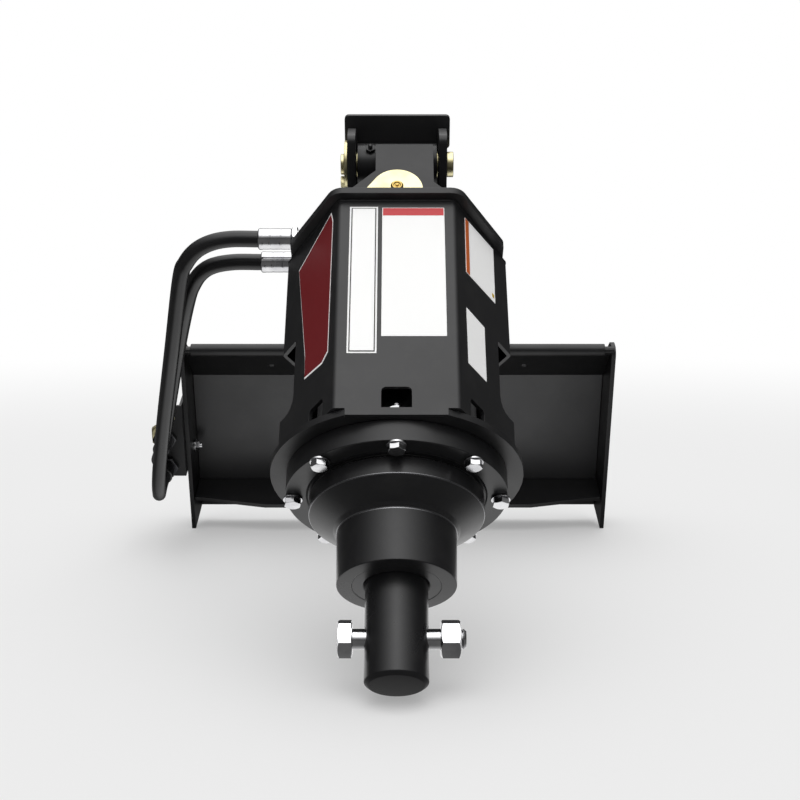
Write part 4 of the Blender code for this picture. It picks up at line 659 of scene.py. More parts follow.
low, high = extent("gearbox_cover", drive)
bearing_low, bearing_high = extent("shaft_bearing", drive)
foot_low = extent("gear_case", drive)[0].z - GAP
shaft_bore = SHAFT_R + 2 * GAP
bearing_bore = bearing_high.x + GAP
outer = [(high.x - SEAM, high.z), (high.x, high.z), (high.x, FLANGE_LOW), (UNDERCUT_R[0], FLANGE_LOW),
         (UNDERCUT_R[1], FLANGE_LOW + UNDERCUT), (GROOVE_R, FLANGE_LOW + UNDERCUT), (GROOVE_R, GROOVE_LOW),
         (BOSS_R, GROOVE_LOW), (BOSS_R, BOSS_LOW), CONE_END, COLLAR_ROOT, (COLLAR_R, low.z), (SEAL_R, low.z)]
bore = [(SEAL_R, low.z + SEAL_DEPTH), (shaft_bore, low.z + SEAL_DEPTH), (shaft_bore, bearing_low.z - GAP),
        (bearing_bore, bearing_low.z - GAP), (bearing_bore, foot_low), (CASE_FOOT_R + GAP, foot_low),
        (CASE_FOOT_R + GAP, high.z), outer[0]]
bm = bmesh.new()
spun(bm, softened(outer + bore, COVER_EDGE)[:-1], steps=160)
# faces near those corners take the painted highlight finish
for face in bm.faces:
    spot = face.calc_center_median()
    spot = Vector((spot.xy.length, spot.z))
    if any((spot - Vector(corner)).length < HIGHLIGHT_WIDTH for corner in HIGHLIT_CORNERS):
        face.material_index = 1
cover = settle("gearbox_cover_turned", bm, drive, cast_black, ("gearbox_cover",), angle=40.0)
cover.data.materials.append(painted_edge_highlight)
refined("ring_plate", black, edge=1.1 * MM, segments=3)

low, high = extent("shaft_seal", drive)
lip = [(SHAFT_R + GAP, low.z + SEAL_LIP), (SEAL_FACE_R, low.z), (SEAL_R - GAP / 3, low.z), (SEAL_R - GAP / 3, high.z),
       (SHAFT_R + GAP, high.z)]
turned("shaft_seal_lip", "shaft_seal", softened(lip, 0.2 * MM), drive, cast_black)

# %% [markdown]
# Two more tools are needed from here on. A bore is cut with a Boolean modifier that is baked at once. A thread's
# slope doesn't show at this size, so a thread is a turned profile with a groove for each turn.

# %% Cutting and threads
def carved(bm, *cutters):
    """Returns the bmesh with the cutters' shapes taken away."""
    base = thing_of("base", bm)
    tools = [thing_of("tool", cutter) for cutter in cutters]
    for tool in tools:
        cut = base.modifiers.new("cut", 'BOOLEAN')
        cut.object = tool
        cut.operation = 'DIFFERENCE'
        cut.solver = 'EXACT'
    bpy.context.view_layer.update()
    result = bmesh.new()
    result.from_object(base, bpy.context.evaluated_depsgraph_get())
    for thing in [base, *tools]:
        bpy.data.objects.remove(thing, do_unlink=True)
    return result


THREAD_CREST = (0.12, 0.5, 0.62)        # where a turn's flank starts and its crest starts and ends


def thread(low, high, crest, depth=0.7 * MM, pitch=1.75 * MM):
    """Profile of radius and height with a sharp groove for each turn, for a bolt's end."""
    count = int((high - low) / pitch)
    profile = [(0.0, low), (crest - depth, low)]
    step = (high - low) / count
    for i in range(count):
        foot, start, end = (low + (high - low) * i / count + step * share for share in THREAD_CREST)
        profile += [(crest - depth, foot), (crest, start), (crest, end)]
    return profile + [(crest - depth, high), (0.0, high)]


# %% [markdown]
# The output shaft is plain round bar with a broad chamfer at its end and a countersunk cross hole. Inside the case
# it grows into the planet carrier with its three pins. The auger's socket slides over the end, and the heavy bolt
# takes the torque. The bolt and nut are far larger than the flange bolts, and their cut thread shows.

# %% Output shaft, cross bolt and nut
CHAMFER = 3.3 * MM
CHAMFER_LENGTH = 2.6 * MM
HUB_R = bearing_high.x - 4 * GAP
HUB_LOW = bearing_high.z + 2 * GAP
CARRIER_R = 52.0 * MM
CARRIER_LOW = 20.0 * MM
CARRIER_TOP = 40.0 * MM
PLANET_PIN_R = 6.0 * MM
CROSS_R = 8.0 * MM
CROSS_SINK = 2.6 * MM
CROSS_FLATS = 27.4 * MM
CROSS_HEAD = 11.8 * MM
CROSS_FACE = 0.8 * MM       # height of the turned face under the head
CROSS_LAP = 0.4 * MM        # the face starts this far inside the head
CROSS_TURN = math.radians(4.0)
CROSS_THREAD = (0.9 * MM, 2.3 * MM)     # depth and pitch
CROSS_POINT = 1.2 * MM
OVERRUN = 4.0 * MM          # a cutter goes this far past the face it cuts
WASHER_FACE = 0.47          # radius of the turned face under a head, as a share of the flats
NUT_SINK = 1.6 * MM

low, high = extent("output_shaft", drive)
bolt_low, bolt_high, cross_at = line_of("cross_bolt", drive, "x")
nut_low, nut_high = extent("cross_nut", drive)
bar = [(0.0, low.z), (SHAFT_R - CHAMFER, low.z), (SHAFT_R, low.z + CHAMFER_LENGTH), (SHAFT_R, HUB_LOW),
       (HUB_R, HUB_LOW), (HUB_R, CARRIER_LOW), (CARRIER_R, CARRIER_LOW), (CARRIER_R, CARRIER_TOP), (0.0, CARRIER_TOP)]
bm = bmesh.new()
spun(bm, softened(bar, COVER_EDGE), steps=128)
reach = SHAFT_R + OVERRUN
cross_bore = CROSS_R + GAP
wide = cross_bore + CROSS_SINK + OVERRUN
sink = [(0.0, -reach), (wide, -reach), (cross_bore, CROSS_SINK - SHAFT_R), (cross_bore, SHAFT_R - CROSS_SINK),
        (wide, reach), (0.0, reach)]
tool = bmesh.new()
spun(tool, sink, "x", cross_at, steps=64)
bm = carved(bm, tool)
for number in (1, 2, 3):
    _, pin_high, at = line_of(f"planet_gear_{number}", drive, "z")
    spun(bm, rod(PLANET_PIN_R, CARRIER_TOP - MM, pin_high.z, 0.5 * MM), at=at, steps=40)
settle("output_shaft_turned", bm, drive, shaft_black, ("output_shaft",), angle=30.0)

bm = bmesh.new()
head_high = bolt_low.x + CROSS_HEAD
face_r = CROSS_FLATS * WASHER_FACE
head_end = head_high - CROSS_FACE
hexagon(bm, CROSS_FLATS, bolt_low.x, head_end, "x", cross_at, CROSS_TURN, high_cut=False)
shank = [(0.0, head_end - CROSS_LAP), (face_r, head_end - CROSS_LAP), (face_r, head_high), (CROSS_R, head_high),
         (CROSS_R, nut_low.x), (0.0, nut_low.x)]
spun(bm, softened(shank, 0.4 * MM), "x", cross_at)
end = thread(nut_low.x - MM, bolt_high.x - CROSS_POINT, CROSS_R, *CROSS_THREAD)[:-2]
end += [(CROSS_R - 2 * CROSS_THREAD[0], bolt_high.x), (0.0, bolt_high.x)]
spun(bm, softened(end, 0.15 * MM, steps=1), "x", cross_at, steps=48)
settle("cross_bolt_threaded", bm, drive, chrome, ("cross_bolt",))
bm = bmesh.new()
hexagon(bm, CROSS_FLATS, nut_low.x, nut_high.x, "x", cross_at, CROSS_TURN)
nut_bore = CROSS_R + 0.2 * MM
sink = [(0.0, nut_low.x - MM), (CROSS_R + NUT_SINK, nut_low.x - MM), (nut_bore, nut_low.x + CROSS_POINT),
        (nut_bore, nut_high.x - CROSS_POINT), (CROSS_R + NUT_SINK, nut_high.x + MM), (0.0, nut_high.x + MM)]
tool = bmesh.new()
spun(tool, sink, "x", cross_at, steps=48)
settle("cross_nut_chamfered", carved(bm, tool), drive, chrome, ("cross_nut",))

# %% [markdown]
# Eight bolts hold the cover. Each is a hexagon head on a turned face over a plain washer. Only the front one has
# its nut in sight, in the hood's window. A fitter leaves each head at its own angle.

# %% Flange bolts
BOLT_FLATS = 12.7 * MM
BOLT_R = 3.95 * MM
WASHER_R = 8.15 * MM
WASHER = 1.6 * MM
FACE_STEP = 0.6 * MM
BOLT_LAP = 0.1 * MM         # washer, turned face and head overlap by this
BOLT_NUT = (6.2 * MM, 12.9 * MM)
BOLT_TURNS = (15, 40, 5, 22, 50, 33, 12, 44)
under = FLANGE_LOW - GAP
step_low = under - WASHER - FACE_STEP + BOLT_LAP
for number, degrees in enumerate(BOLT_TURNS, start=1):
    low, high, at = line_of(f"flange_bolt_{number}", drive, "z")
    turn = math.radians(degrees)
    bm = bmesh.new()
    spun(bm, tube(BOLT_R, WASHER_R, under, under - WASHER, 0.35 * MM), at=at, steps=40)
    spun(bm, rod(BOLT_FLATS * WASHER_FACE, step_low + FACE_STEP, step_low, 0.2 * MM), at=at, steps=36)
    hexagon(bm, BOLT_FLATS, low.z, step_low + BOLT_LAP, at=at, turn=turn, high_cut=False)
    if number == 1:
        hexagon(bm, BOLT_FLATS, *BOLT_NUT, at=at, turn=turn)
        spun(bm, thread(BOLT_NUT[1] - 0.9 * MM, high.z, BOLT_R, 0.5 * MM, 1.25 * MM), at=at, steps=32)
    else:
        spun(bm, rod(BOLT_R, 0.0, high.z, 0.4 * MM), at=at, steps=32)
    settle(f"flange_bolt_{number}_dressed", bm, drive, chrome, (f"flange_bolt_{number}",))

# %% [markdown]
# ## Pins
# Both pins are turned steel plated in yellow zinc, each with a thin flag welded on its end. The flag keeps the pin
# from turning: a small bolt holds the upper one, and the lower one has a tab with a bolt of its own. A grease
# nipple sits in the middle of the lower flag.

# %% Upper pin, its lock bolt, collar and washers
PIN_R = 10.0 * MM
PIN_HEAD = 4.0 * MM
FLAG = 3.0 * MM
UPPER_FLAG_R = 23.5 * MM
WELD = 1.6 * MM
WELD_SUNK = 0.5 * MM
COLLAR_OUT_R = 12.3 * MM
THRUST_R = 12.5 * MM
LOCK_FLATS = 11.0 * MM
LOCK_HEAD = 4.0 * MM
LOCK_R = 4.0 * MM
LOCK_FACE = 0.4 * MM        # height of the turned face under the head
LOCK_FACE_R = 5.6 * MM
LOCK_TURN = math.radians(20)
low, high = extent("upper_pin", knuckle)
flag_low = low.x + PIN_HEAD
bm = bmesh.new()
spun(bm, rod(PIN_R, low.x, high.x, MM), "x")
spun(bm, tube(PIN_R - MM, UPPER_FLAG_R, flag_low, flag_low + FLAG, 0.5 * MM), "x")
weld = [(PIN_R - WELD_SUNK, flag_low), (PIN_R + WELD, flag_low), (PIN_R - WELD_SUNK, flag_low - WELD)]
spun(bm, softened(weld, 0.3 * MM), "x")
settle("upper_pin_turned", bm, knuckle, zinc, ("upper_pin",))
for node, radius, edge in (("upper_pin_collar", COLLAR_OUT_R, 0.9), ("thrust_washer_left", THRUST_R, 0.2),
                           ("thrust_washer_right", THRUST_R, 0.2)):
    low, high = extent(node, knuckle)
    turned(f"{node}_turned", node, tube(PIN_R + GAP, radius, low.x, high.x, edge * MM), knuckle, zinc, "x")
low, high, at = line_of("pin_lock_bolt", plate, "x")
bm = bmesh.new()
head_high = low.x + LOCK_HEAD
head_end = head_high - LOCK_FACE
hexagon(bm, LOCK_FLATS, low.x, head_end, "x", at, LOCK_TURN, high_cut=False)
shank = [(0.0, head_end - BOLT_LAP), (LOCK_FACE_R, head_end - BOLT_LAP), (LOCK_FACE_R, head_high), (LOCK_R, head_high),
         (LOCK_R, high.x), (0.0, high.x)]
spun(bm, softened(shank, 0.2 * MM), "x", at, steps=40)
settle("pin_lock_bolt_dressed", bm, plate, zinc, ("pin_lock_bolt",))

# %% [markdown]
# The lower flag is a disc whose side runs out into a tab. Its outline is an arc and four corners, given a thickness
# and joined to the turned pin. The grease fittings are small turned profiles, given in millimetres.

# %% Lower pin, its clip and grease fittings
def arc(radius, start, end, steps):
    """Points of an arc about the origin, in degrees."""
    return [(radius * math.cos(math.radians(start + (end - start) * i / steps)),
             radius * math.sin(math.radians(start + (end - start) * i / steps))) for i in range(steps + 1)]


LOWER_PIN_R = 12.0 * MM
FLAG_R = 24.1 * MM
TAB_TURN = 235.0
TAB_REACH = 33.0 * MM
TAB_END = (38.0 * MM, 9.0 * MM)         # how far out the tab's end is, and half its width
TAB_BOLT_FLATS = 10.0 * MM
TAB_BOLT_HEAD = 4.0 * MM
FLAG_LAP = 0.2 * MM         # the pin and the tab's bolt start this far inside the flag
TAB_BOLT_AT = 0.8           # share of the tab's reach
CLIP_R = 17.0 * MM
NIPPLE = ((0.0, 0.5), (6.0, 0.5), (6.0, -4.6), (4.6, -6.0), (3.4, -6.0), (2.8, -5.0), (1.8, -5.0), (1.2, -6.4),
          (0.0, -6.6))
BALL = ((0.0, 0.0), (1.2, 0.0), (2.4, 1.0), (1.7, 2.4), (2.2, 3.6), (0.0, 3.6))
BALL_HIGH = 3.4 * MM        # the fitting's hexagon starts here
BALL_FLATS = 8.6 * MM
low, high = extent("lower_pin", lower_pin)
way = Vector((math.cos(math.radians(TAB_TURN)), math.sin(math.radians(TAB_TURN))))
across = Vector((-way.y, way.x))
outline = arc(FLAG_R, TAB_TURN + 270.0, TAB_TURN + 90.0, 64)
outline += [tuple(way * out + across * aside) for out, aside in
            ((TAB_REACH, FLAG_R), TAB_END, (TAB_END[0], -TAB_END[1]), (TAB_REACH, -FLAG_R))]
bm = bmesh.new()
upright(bm, outline, low.y, low.y + FLAG, 0.5 * MM)
spun(bm, rod(LOWER_PIN_R, low.y + FLAG - FLAG_LAP, high.y, 0.9 * MM), "y")
spot = way * TAB_REACH * TAB_BOLT_AT
hexagon(bm, TAB_BOLT_FLATS, low.y - TAB_BOLT_HEAD, low.y + FLAG_LAP, "y", (spot.x, 0.0, spot.y), high_cut=False)
settle("lower_pin_turned", bm, lower_pin, zinc, ("lower_pin",))
nipple = [(radius * MM, low.y + rise * MM) for radius, rise in NIPPLE]
turned("grease_nipple", "lower_pin_nipple", softened(nipple, 0.3 * MM), lower_pin, brass, "y", steps=40)
low, high = extent("lower_pin_clip", lower_pin)
turned("lower_pin_clip_turned", "lower_pin_clip", tube(LOWER_PIN_R + GAP, CLIP_R, low.y, high.y, 0.4 * MM), lower_pin,
       steel, "y")
low, high, at = line_of("knuckle_grease_fitting", knuckle, "y")
ball = [(radius * MM, low.y + rise * MM) for radius, rise in BALL]
bm = bmesh.new()
spun(bm, softened(ball, 0.2 * MM), "y", at, steps=32)
hexagon(bm, BALL_FLATS, low.y + BALL_HIGH, high.y, "y", at, high_cut=False)
settle("knuckle_grease_fitting_dressed", bm, knuckle, black, ("knuckle_grease_fitting",))

# %% [markdown]
# ## Hoses
# Each hose is a two-wire hydraulic hose with a crimped ferrule at each end. A hose and a bent tube are both a ring
# carried along a path, so one tool makes both.

# %% Pipes
def smooth_path(points, steps=6):
    """Points of a smooth curve through given ones."""
    places = [Vector(point) for point in points]
    places = [2 * places[0] - places[1]] + places + [2 * places[-1] - places[-2]]
    path = []
    for i in range(1, len(places) - 2):
        a, b, c, d = places[i - 1:i + 3]
        for step in range(steps):
            t = step / steps
            path.append(b + (c - a) * t / 2 + (a * 2 - b * 5 + c * 4 - d) * t ** 2 / 2
                        + (b * 3 - a - c * 3 + d) * t ** 3 / 2)
    path.append(places[-2])
    return path


def pipe(bm, path, radius, sides=20, ripple=0.0, pitch=3.0 * MM, span=None):
    """Adds a closed pipe along a path, or along a span of its points; a ripple swells its radius at each pitch."""
    path = [Vector(point) for point in path]
    side = None
    rings = []
    run = 0.0
    for i, point in enumerate(path):
        ahead = (path[min(i + 1, len(path) - 1)] - path[max(i - 1, 0)]).normalized()
        if side is None:
            side = ahead.orthogonal().normalized()
        side = (side - ahead * side.dot(ahead)).normalized()
        other = ahead.cross(side)
        run += (point - path[i - 1]).length if i else 0.0
        wide = radius * (1.0 + ripple * math.sin(math.tau * run / pitch))
        rings.append([bm.verts.new(point + wide * (math.cos(math.tau * k / sides) * side
                                                   + math.sin(math.tau * k / sides) * other))
                      for k in range(sides)])
    if span:
        spare = [vert for ring in rings[:span[0]] + rings[span[1] + 1:] for vert in ring]
        rings = rings[span[0]:span[1] + 1]
        bmesh.ops.delete(bm, geom=spare, context='VERTS')
    made = [bm.faces.new((near[k - 1], near[k], far[k], far[k - 1]))
            for near, far in zip(rings, rings[1:]) for k in range(sides)]
    made += [bm.faces.new(rings[0]), bm.faces.new(rings[-1])]
    bmesh.ops.recalc_face_normals(bm, faces=made)


# %% [markdown]
# A ferrule is crimped in a press, which leaves shallow waists between rounded lands, so it is a turned profile. The
# elbow below it is a bent pipe with a nut at each end.

# %% Ports and ferrules
FERRULE_R = 10.0 * MM
FERRULE_SHAPE = ((0.0, 0.90), (0.03, 0.985), (0.30, 0.985), (0.33, 0.965), (0.36, 0.985), (0.62, 0.985),
                 (0.65, 0.965), (0.68, 0.985), (0.86, 0.985), (0.88, 1.0), (0.97, 1.0), (1.0, 0.92))
PORT_R = 8.2 * MM
PORT_X = -78.0 * MM
PORT_END = -97.6 * MM
PORT_BEND = 12.5 * MM
PORT_FLATS = 21.0 * MM
PORT_NUTS = ((229.6 * MM, 236.2 * MM), (-97.7 * MM, -92.4 * MM))        # on the rim, and at the ferrule


def ferrule_profile(start, end):
    """Crimped ferrule: a plain collar, then two pressed waists between rounded lands."""
    points = [(FERRULE_R * wide, start + (end - start) * along) for along, wide in FERRULE_SHAPE]
    return softened([(0.0, start), *points, (0.0, end)], 0.35 * MM)


for side in ("front", "rear"):
    low, high, at = line_of(f"hose_ferrule_{side}", drive, "x")
    turned(f"ferrule_{side}_crimped", f"hose_ferrule_{side}", ferrule_profile(high.x, low.x), drive, chrome, "x", at,
           steps=64)
    foot = extent(f"port_elbow_{side}", drive)[0].z + 0.1 * MM
    bend = [(PORT_X - PORT_BEND + x, at.y, at.z - PORT_BEND + z) for x, z in arc(PORT_BEND, 0.0, 90.0, 8)]
    bm = bmesh.new()
    pipe(bm, [(PORT_X, at.y, foot), *bend, (PORT_END, at.y, at.z)], PORT_R, sides=40)
    hexagon(bm, PORT_FLATS, *PORT_NUTS[0], at=(PORT_X, at.y, 0.0), turn=math.radians(30), low_cut=False)
    hexagon(bm, PORT_FLATS, *PORT_NUTS[1], "x", at)
    settle(f"elbow_{side}_formed", bm, drive, chrome, (f"port_elbow_{side}",))

# %% [markdown]
# A hose's upper end rides on the drive and its lower end on the mount plate, so the hose must bend when the knuckle
# moves. It is split at its middle into an upper and a lower half, each a piece of its own.

# %% Hoses
HOSE_R = 7.8 * MM
HOSES = {                   # to the right, ahead of the plate and above its tips, from the ferrule down
    "front": ((-0.1296, 0.2834, 0.4811), (-0.155, 0.2834, 0.4811), (-0.173, 0.284, 0.478), (-0.188, 0.283, 0.470),
              (-0.199, 0.281, 0.457), (-0.2065, 0.275, 0.438), (-0.226, 0.236, 0.350), (-0.2485, 0.188, 0.250),
              (-0.2630, 0.157, 0.180), (-0.2702, 0.138, 0.142), (-0.2752, 0.115, 0.116), (-0.2802, 0.088, 0.100),
              (-0.2826, 0.0600, 0.096), (-0.2826, 0.0406, 0.096)),
    "rear": ((-0.1296, 0.2657, 0.4520), (-0.155, 0.2657, 0.4520), (-0.175, 0.264, 0.448), (-0.188, 0.259, 0.439),
             (-0.198, 0.250, 0.424), (-0.2065, 0.239, 0.403), (-0.2250, 0.200, 0.340), (-0.2462, 0.161, 0.257),
             (-0.2590, 0.135, 0.205), (-0.2695, 0.110, 0.168), (-0.2785, 0.086, 0.144), (-0.2826, 0.0650, 0.1345),
             (-0.2826, 0.0456, 0.1345)),
}
for side, route in HOSES.items():
    line = smooth_path([plate @ Vector((x, -ahead, above)) for x, ahead, above in route], steps=8)
    runs = [0.0]
    for a, b in zip(line, line[1:]):
        runs.append(runs[-1] + (b - a).length)
    half = min(range(len(line)), key=lambda i: abs(runs[i] - runs[-1] / 2))
    print(f"hose_{side}: {runs[-1] / MM:.1f} mm long")
    for part, start_body, end_body, first, last in (("upper", "drive", "knuckle", 0, half),
                                                    ("lower", "knuckle", "frame", half, len(line) - 1)):
        bm = bmesh.new()
        pipe(bm, line, HOSE_R, sides=28, span=(first, last))
        hose = thing_of(f"hose_{side}_{part}", bm)
        smoothed(hose, rubber, 50.0)
        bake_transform(hose)
        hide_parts(f"hose_{side}")

# %% [markdown]
# ## Couplers
# Two quick couplers stand in an angle bracket on the plate's left side. A hose end screws on each from the front,
# and the bracket is bolted through the side plate.

# %% Couplers, hose ends and the bracket's bolt
HOSE_NUT = 7.0 * MM
HOSE_NUT_FLATS = 25.0 * MM
COUPLER_FRONT = -8.7 * MM   # front of the big hexagon, in the plate's axes
COUPLER_NUT = 9.0 * MM
COUPLER_FLATS = 33.0 * MM
COUPLER_STUD_R = 8.5 * MM
COUPLER_THREAD = (0.7 * MM, 1.6 * MM)   # depth and pitch
SLEEVE = ((0.0, 8.0), (14.2, 8.0), (14.2, 20.0), (15.6, 21.0), (15.6, 34.0), (11.5, 35.0))
TAIL = ((11.5, -6.0), (12.2, -5.0), (12.2, 0.0), (7.0, 0.0), (5.8, -8.0), (0.0, -8.0))
for name in ("lower", "upper"):
    low, high, at = line_of(f"hose_end_{name}", plate, "y")
    nut_front = high.y - HOSE_NUT
    bm = bmesh.new()
    hexagon(bm, HOSE_NUT_FLATS, nut_front, high.y, "y", at, math.radians(30))
    spun(bm, ferrule_profile(nut_front + 0.4 * MM, low.y), "y", at, steps=56)
    settle(f"hose_end_{name}_crimped", bm, plate, dark_steel, (f"hose_end_{name}",))
    low, high = extent(f"quick_coupler_{name}", plate)
    sleeve = [(radius * MM, COUPLER_FRONT + back * MM) for radius, back in SLEEVE]
    sleeve += [(radius * MM, high.y + back * MM) for radius, back in TAIL]
    bm = bmesh.new()
    hexagon(bm, COUPLER_FLATS, COUPLER_FRONT, COUPLER_FRONT + COUPLER_NUT, "y", at)
    spun(bm, softened(sleeve, 0.7 * MM), "y", at, steps=64)
    spun(bm, thread(low.y, COUPLER_FRONT + 0.5 * MM, COUPLER_STUD_R, *COUPLER_THREAD), "y", at, steps=40)
    settle(f"quick_coupler_{name}_turned", bm, plate, zinc, (f"quick_coupler_{name}",))
BRACKET_R = 4.0 * MM
BRACKET_WASHER_R = 8.0 * MM
BRACKET_HEAD = 5.0 * MM
BRACKET_LAP = 3.0 * MM      # the shank reaches this far into the head and the nut
BRACKET_WASHER = (-5.0 * MM, -3.6 * MM)             # these two are measured from the node's end
BRACKET_NUT = (-3.7 * MM, 1.6 * MM)
BRACKET_STUB = 4.4 * MM
BRACKET_STUB_R = 3.9 * MM
low, high, at = line_of("bracket_bolt", plate, "x")
bm = bmesh.new()
spun(bm, rod(BRACKET_R, low.x + BRACKET_LAP, high.x - BRACKET_LAP), "x", at, steps=32)
hexagon(bm, BOLT_FLATS, low.x, low.x + BRACKET_HEAD, "x", at, math.radians(10), high_cut=False)
washer_low, washer_high, nut_low, nut_high = (high.x + step for step in BRACKET_WASHER + BRACKET_NUT)
spun(bm, rod(BRACKET_WASHER_R, washer_low, washer_high), "x", at, steps=40)
hexagon(bm, BOLT_FLATS, nut_low, nut_high, "x", at, math.radians(25), low_cut=False)
spun(bm, rod(BRACKET_STUB_R, high.x, high.x + BRACKET_STUB, 0.7 * MM), "x", at, steps=32)
settle("bracket_bolt_dressed", bm, plate, chrome, ("bracket_bolt",))

# %% [markdown]
# ## Bar, motor and inner parts
# The round bar along the plate's top edge is what the loader's hooks catch. The motor shows only through the
# hood's side notches. The gears and bearings stay as the frame has them and only get a finish.

# %% Bar, motor and finishes of the inner parts
low, high, at = line_of("lip_bar", plate, "x")
turned("lip_bar_turned", "lip_bar", rod((high.z - low.z) / 2, low.x, high.x, 0.9 * MM), plate, black, "x", at, steps=48)

MOTOR_FOOT = 13.0 * MM
MOTOR_FOOT_R = 58.0 * MM
MOTOR_R = 47.0 * MM
MOTOR_EDGE = 1.2 * MM
MOTOR_RINGS = ((0.22, 52.0), (0.42, 47.0), (0.52, 52.0), (0.78, 47.0))  # share of the height, radius from there
MOTOR_BORE_R = 8.6 * MM
MOTOR_BORE_TOP = 92.6 * MM
low, high = extent("hydraulic_motor", drive)
base = low.z + MOTOR_FOOT
stack = [(0.0, low.z), (MOTOR_FOOT_R, low.z), (MOTOR_FOOT_R, base), (MOTOR_R, base)]
for share, wide in MOTOR_RINGS:
    rise = base + (high.z - base) * share
    stack += [(stack[-1][0], rise), (wide * MM, rise)]
stack += [(MOTOR_R, high.z), (0.0, high.z)]
bm = bmesh.new()
spun(bm, softened(stack, MOTOR_EDGE))
tool = bmesh.new()
spun(tool, [(0.0, low.z - MM), (MOTOR_BORE_R, low.z - MM), (MOTOR_BORE_R, MOTOR_BORE_TOP), (0.0, MOTOR_BORE_TOP)],
     steps=32)
settle("hydraulic_motor_turned", carved(bm, tool), drive, cast_black, ("hydraulic_motor",))

INNER = ((steel, ("gear_case", "shaft_bearing", "sun_gear", "planet_gear_1", "planet_gear_2", "planet_gear_3")),
         (bronze, ("knuckle_bush_left", "knuckle_bush_right")))
for material, members in INNER:
    for node in members:
        mesh = nodes[node].data
        mesh.materials.clear()
        mesh.materials.append(material)

# %% [markdown]
# ## Weld beads
# The ears are welded to the rim, and the rim to the hood. Fine ripples along each bead are what tells a weld from
# a fillet in a close view.

# %% Weld beads
BEAD_STEP = 0.75 * MM
BEAD_RIPPLE = 0.09
BEAD_SIDES = 8


def bead(name, points, radius=2.2 * MM):
    """Weld bead on the drive, along straight runs between points."""
    path = []
    for start, end in zip(points, points[1:]):
        start, end = Vector(start), Vector(end)
        count = max(2, int((end - start).length / BEAD_STEP))
        path += [start.lerp(end, i / count) for i in range(count)]
    path.append(Vector(points[-1]))
    bm = bmesh.new()
    pipe(bm, path, radius, sides=BEAD_SIDES, ripple=BEAD_RIPPLE)
    settle(name, bm, drive, black, body="drive", angle=60.0)


HOOD_FLATS = 174.7 * MM
HOOD_BEND = 5.4 * MM
BEAD_SUNK = 0.5 * MM
EAR_BEAD_IN = 3.0 * MM
EAR_BEAD_UP = 0.7 * MM
HOOD_BEAD_R = 1.1 * MM
HOOD_BEAD_DOWN = 0.6 * MM
rim_top = extent("rim_plate", drive)[1].z
hood_low, hood_high = extent("hood", drive)
HOOD_FRONT = -hood_low.y
for side, sign in (("front", -1), ("rear", 1)):
    low, high = extent(f"ear_{side}", drive)
    y = (low.y if sign < 0 else high.y) + sign * BEAD_SUNK
    run = [(x, y, rim_top + EAR_BEAD_UP) for x in (low.x + EAR_BEAD_IN, high.x - EAR_BEAD_IN)]
    bead(f"bead_ear_{side}", run)
corner_reach = (HOOD_FLATS / 2 - BEAD_SUNK - HOOD_BEND) * 2 / math.sqrt(3)
loop = []
for degrees in range(0, 360, 60):
    corner = corner_reach * Vector((math.cos(math.radians(degrees)), math.sin(math.radians(degrees))))
    corner.y += HOOD_FLATS / 2 - HOOD_FRONT
    loop += [(corner.x + x, corner.y + y, hood_high.z - HOOD_BEAD_DOWN)
             for x, y in arc(HOOD_BEND, degrees - 30, degrees + 30, 8)]
bead("bead_hood_top", loop + loop[:1], radius=HOOD_BEAD_R)
print("beads are laid")

# %% [markdown]
# ## Panels on the hood
# The photographed drive carries printed plates on its hood. Their places stay, and their fields and borders keep
# their colours, but they are left bare: nothing on them can be read. Each is a thin sheet laid on its wall.

# %% Panels
SHEET = 0.25 * MM
SHEET_EDGE = 0.08 * MM
# painted light: the white sheets glow a little, so that they stay bright white
PANEL_PAINTED_GLOW = 0.2
BORDER = 1.7
CORNER_X = HOOD_FLATS / 2 / math.sqrt(3)
PANEL_COLOURS = {"white": (0.97, 0.97, 0.96), "black": (0.02, 0.02, 0.02), "red": (0.74, 0.03, 0.04),
                 "deep_red": (0.22, 0.014, 0.018), "orange": (0.72, 0.15, 0.03), "yellow": (0.75, 0.5, 0.05)}
inks = {name: powder(f"panel_{name}", colour, dust=0.03, low=0.3, high=0.42, bump=0.02)
        for name, colour in PANEL_COLOURS.items()}
# the white ink glows by this much, as painted light
paper = inks["white"].node_tree.nodes["Principled BSDF"]
paper.inputs["Emission Color"].default_value = (1.0, 1.0, 1.0, 1.0)
paper.inputs["Emission Strength"].default_value = PANEL_PAINTED_GLOW


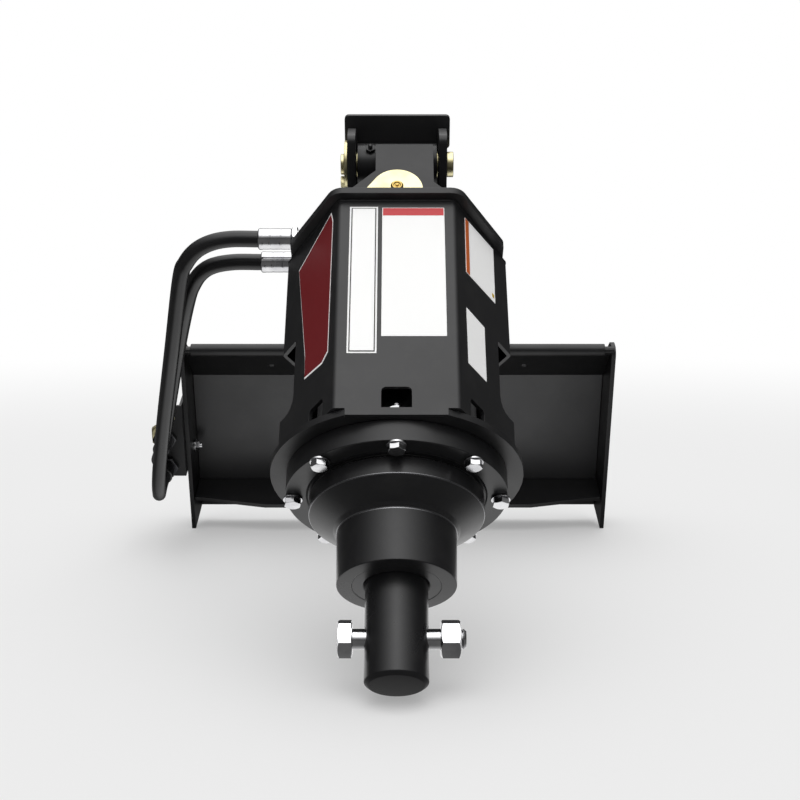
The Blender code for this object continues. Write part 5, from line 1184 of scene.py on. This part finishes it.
def wall_axes(wall):
    """Axes on a hood wall: X along it, Y out of it, Z up, from the drive's middle or from the wall's front corner."""
    if wall == "front":
        along, out, start = (1.0, 0.0, 0.0), (0.0, -1.0, 0.0), (0.0, -HOOD_FRONT, 0.0)
    else:
        sign = -1.0 if wall == "left" else 1.0
        along, out = (sign * 0.5, math.sqrt(0.75), 0.0), (sign * math.sqrt(0.75), -0.5, 0.0)
        start = (sign * CORNER_X, -HOOD_FRONT, 0.0)
    matrix = Matrix((along, out, (0.0, 0.0, 1.0))).transposed().to_4x4()
    matrix.translation = start
    return drive @ matrix


def panel(name, wall, outline, ink, layer=1):
    """Thin sheet on a hood wall, its outline in millimetres along the wall and up it."""
    bm = bmesh.new()
    upright(bm, [(x * MM, z * MM) for x, z in outline], 0.0, SHEET * layer, SHEET_EDGE, segments=1)
    settle(name, bm, wall_axes(wall), inks[ink], body="drive")


def box(x0, x1, z0, z1):
    return [(x0, z0), (x1, z0), (x1, z1), (x0, z1)]


def inset(outline, width):
    """Outline drawn in towards its middle."""
    middle = Vector([sum(c) / len(outline) for c in zip(*outline)])
    return [tuple(Vector(c) + (middle - Vector(c)).normalized() * width) for c in outline]


BADGE = [(13.5, 217.3), (10.1, 206.8), (11.4, 67.1), (21.6, 61.4), (53.6, 64.8), (54.4, 87.2), (74.9, 194.9)]
panel("panel_tall", "front", box(-40.6, -16.3, 59.0, 214.0), "white")
panel("panel_tall_line", "front", box(-39.2, -17.7, 60.4, 212.6), "black", 2)
panel("panel_tall_field", "front", box(-38.2, -18.7, 61.4, 211.6), "white", 3)
panel("panel_front", "front", box(-12.6, 41.0, 76.0, 213.0), "white")
panel("panel_front_band", "front", box(-12.0, 40.4, 204.2, 212.4), "red", 2)
panel("panel_left_edge", "left", BADGE, "white")
panel("panel_left", "left", inset(BADGE, BORDER), "deep_red", 2)
panel("panel_right_upper", "right", [(17.9, 215.4), (73.3, 218.5), (72.4, 156.5), (17.2, 154.3)], "white")
panel("panel_right_band", "right", [(18.4, 214.8), (24.6, 215.1), (24.0, 155.0), (17.8, 154.8)], "orange", 2)
panel("panel_right_spot", "right", box(66.5, 70.5, 160.5, 164.5), "yellow", 2)
panel("panel_right_lower", "right", [(15.6, 115.4), (48.6, 115.2), (48.6, 59.3), (16.2, 59.1)], "white")
print("panels: bare, with their borders only")

# %% [markdown]
# ## Size
# The last cell measures the dressed part and prints its size.

low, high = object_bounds()
print("dressed size", [round(v, 4) for v in high - low])
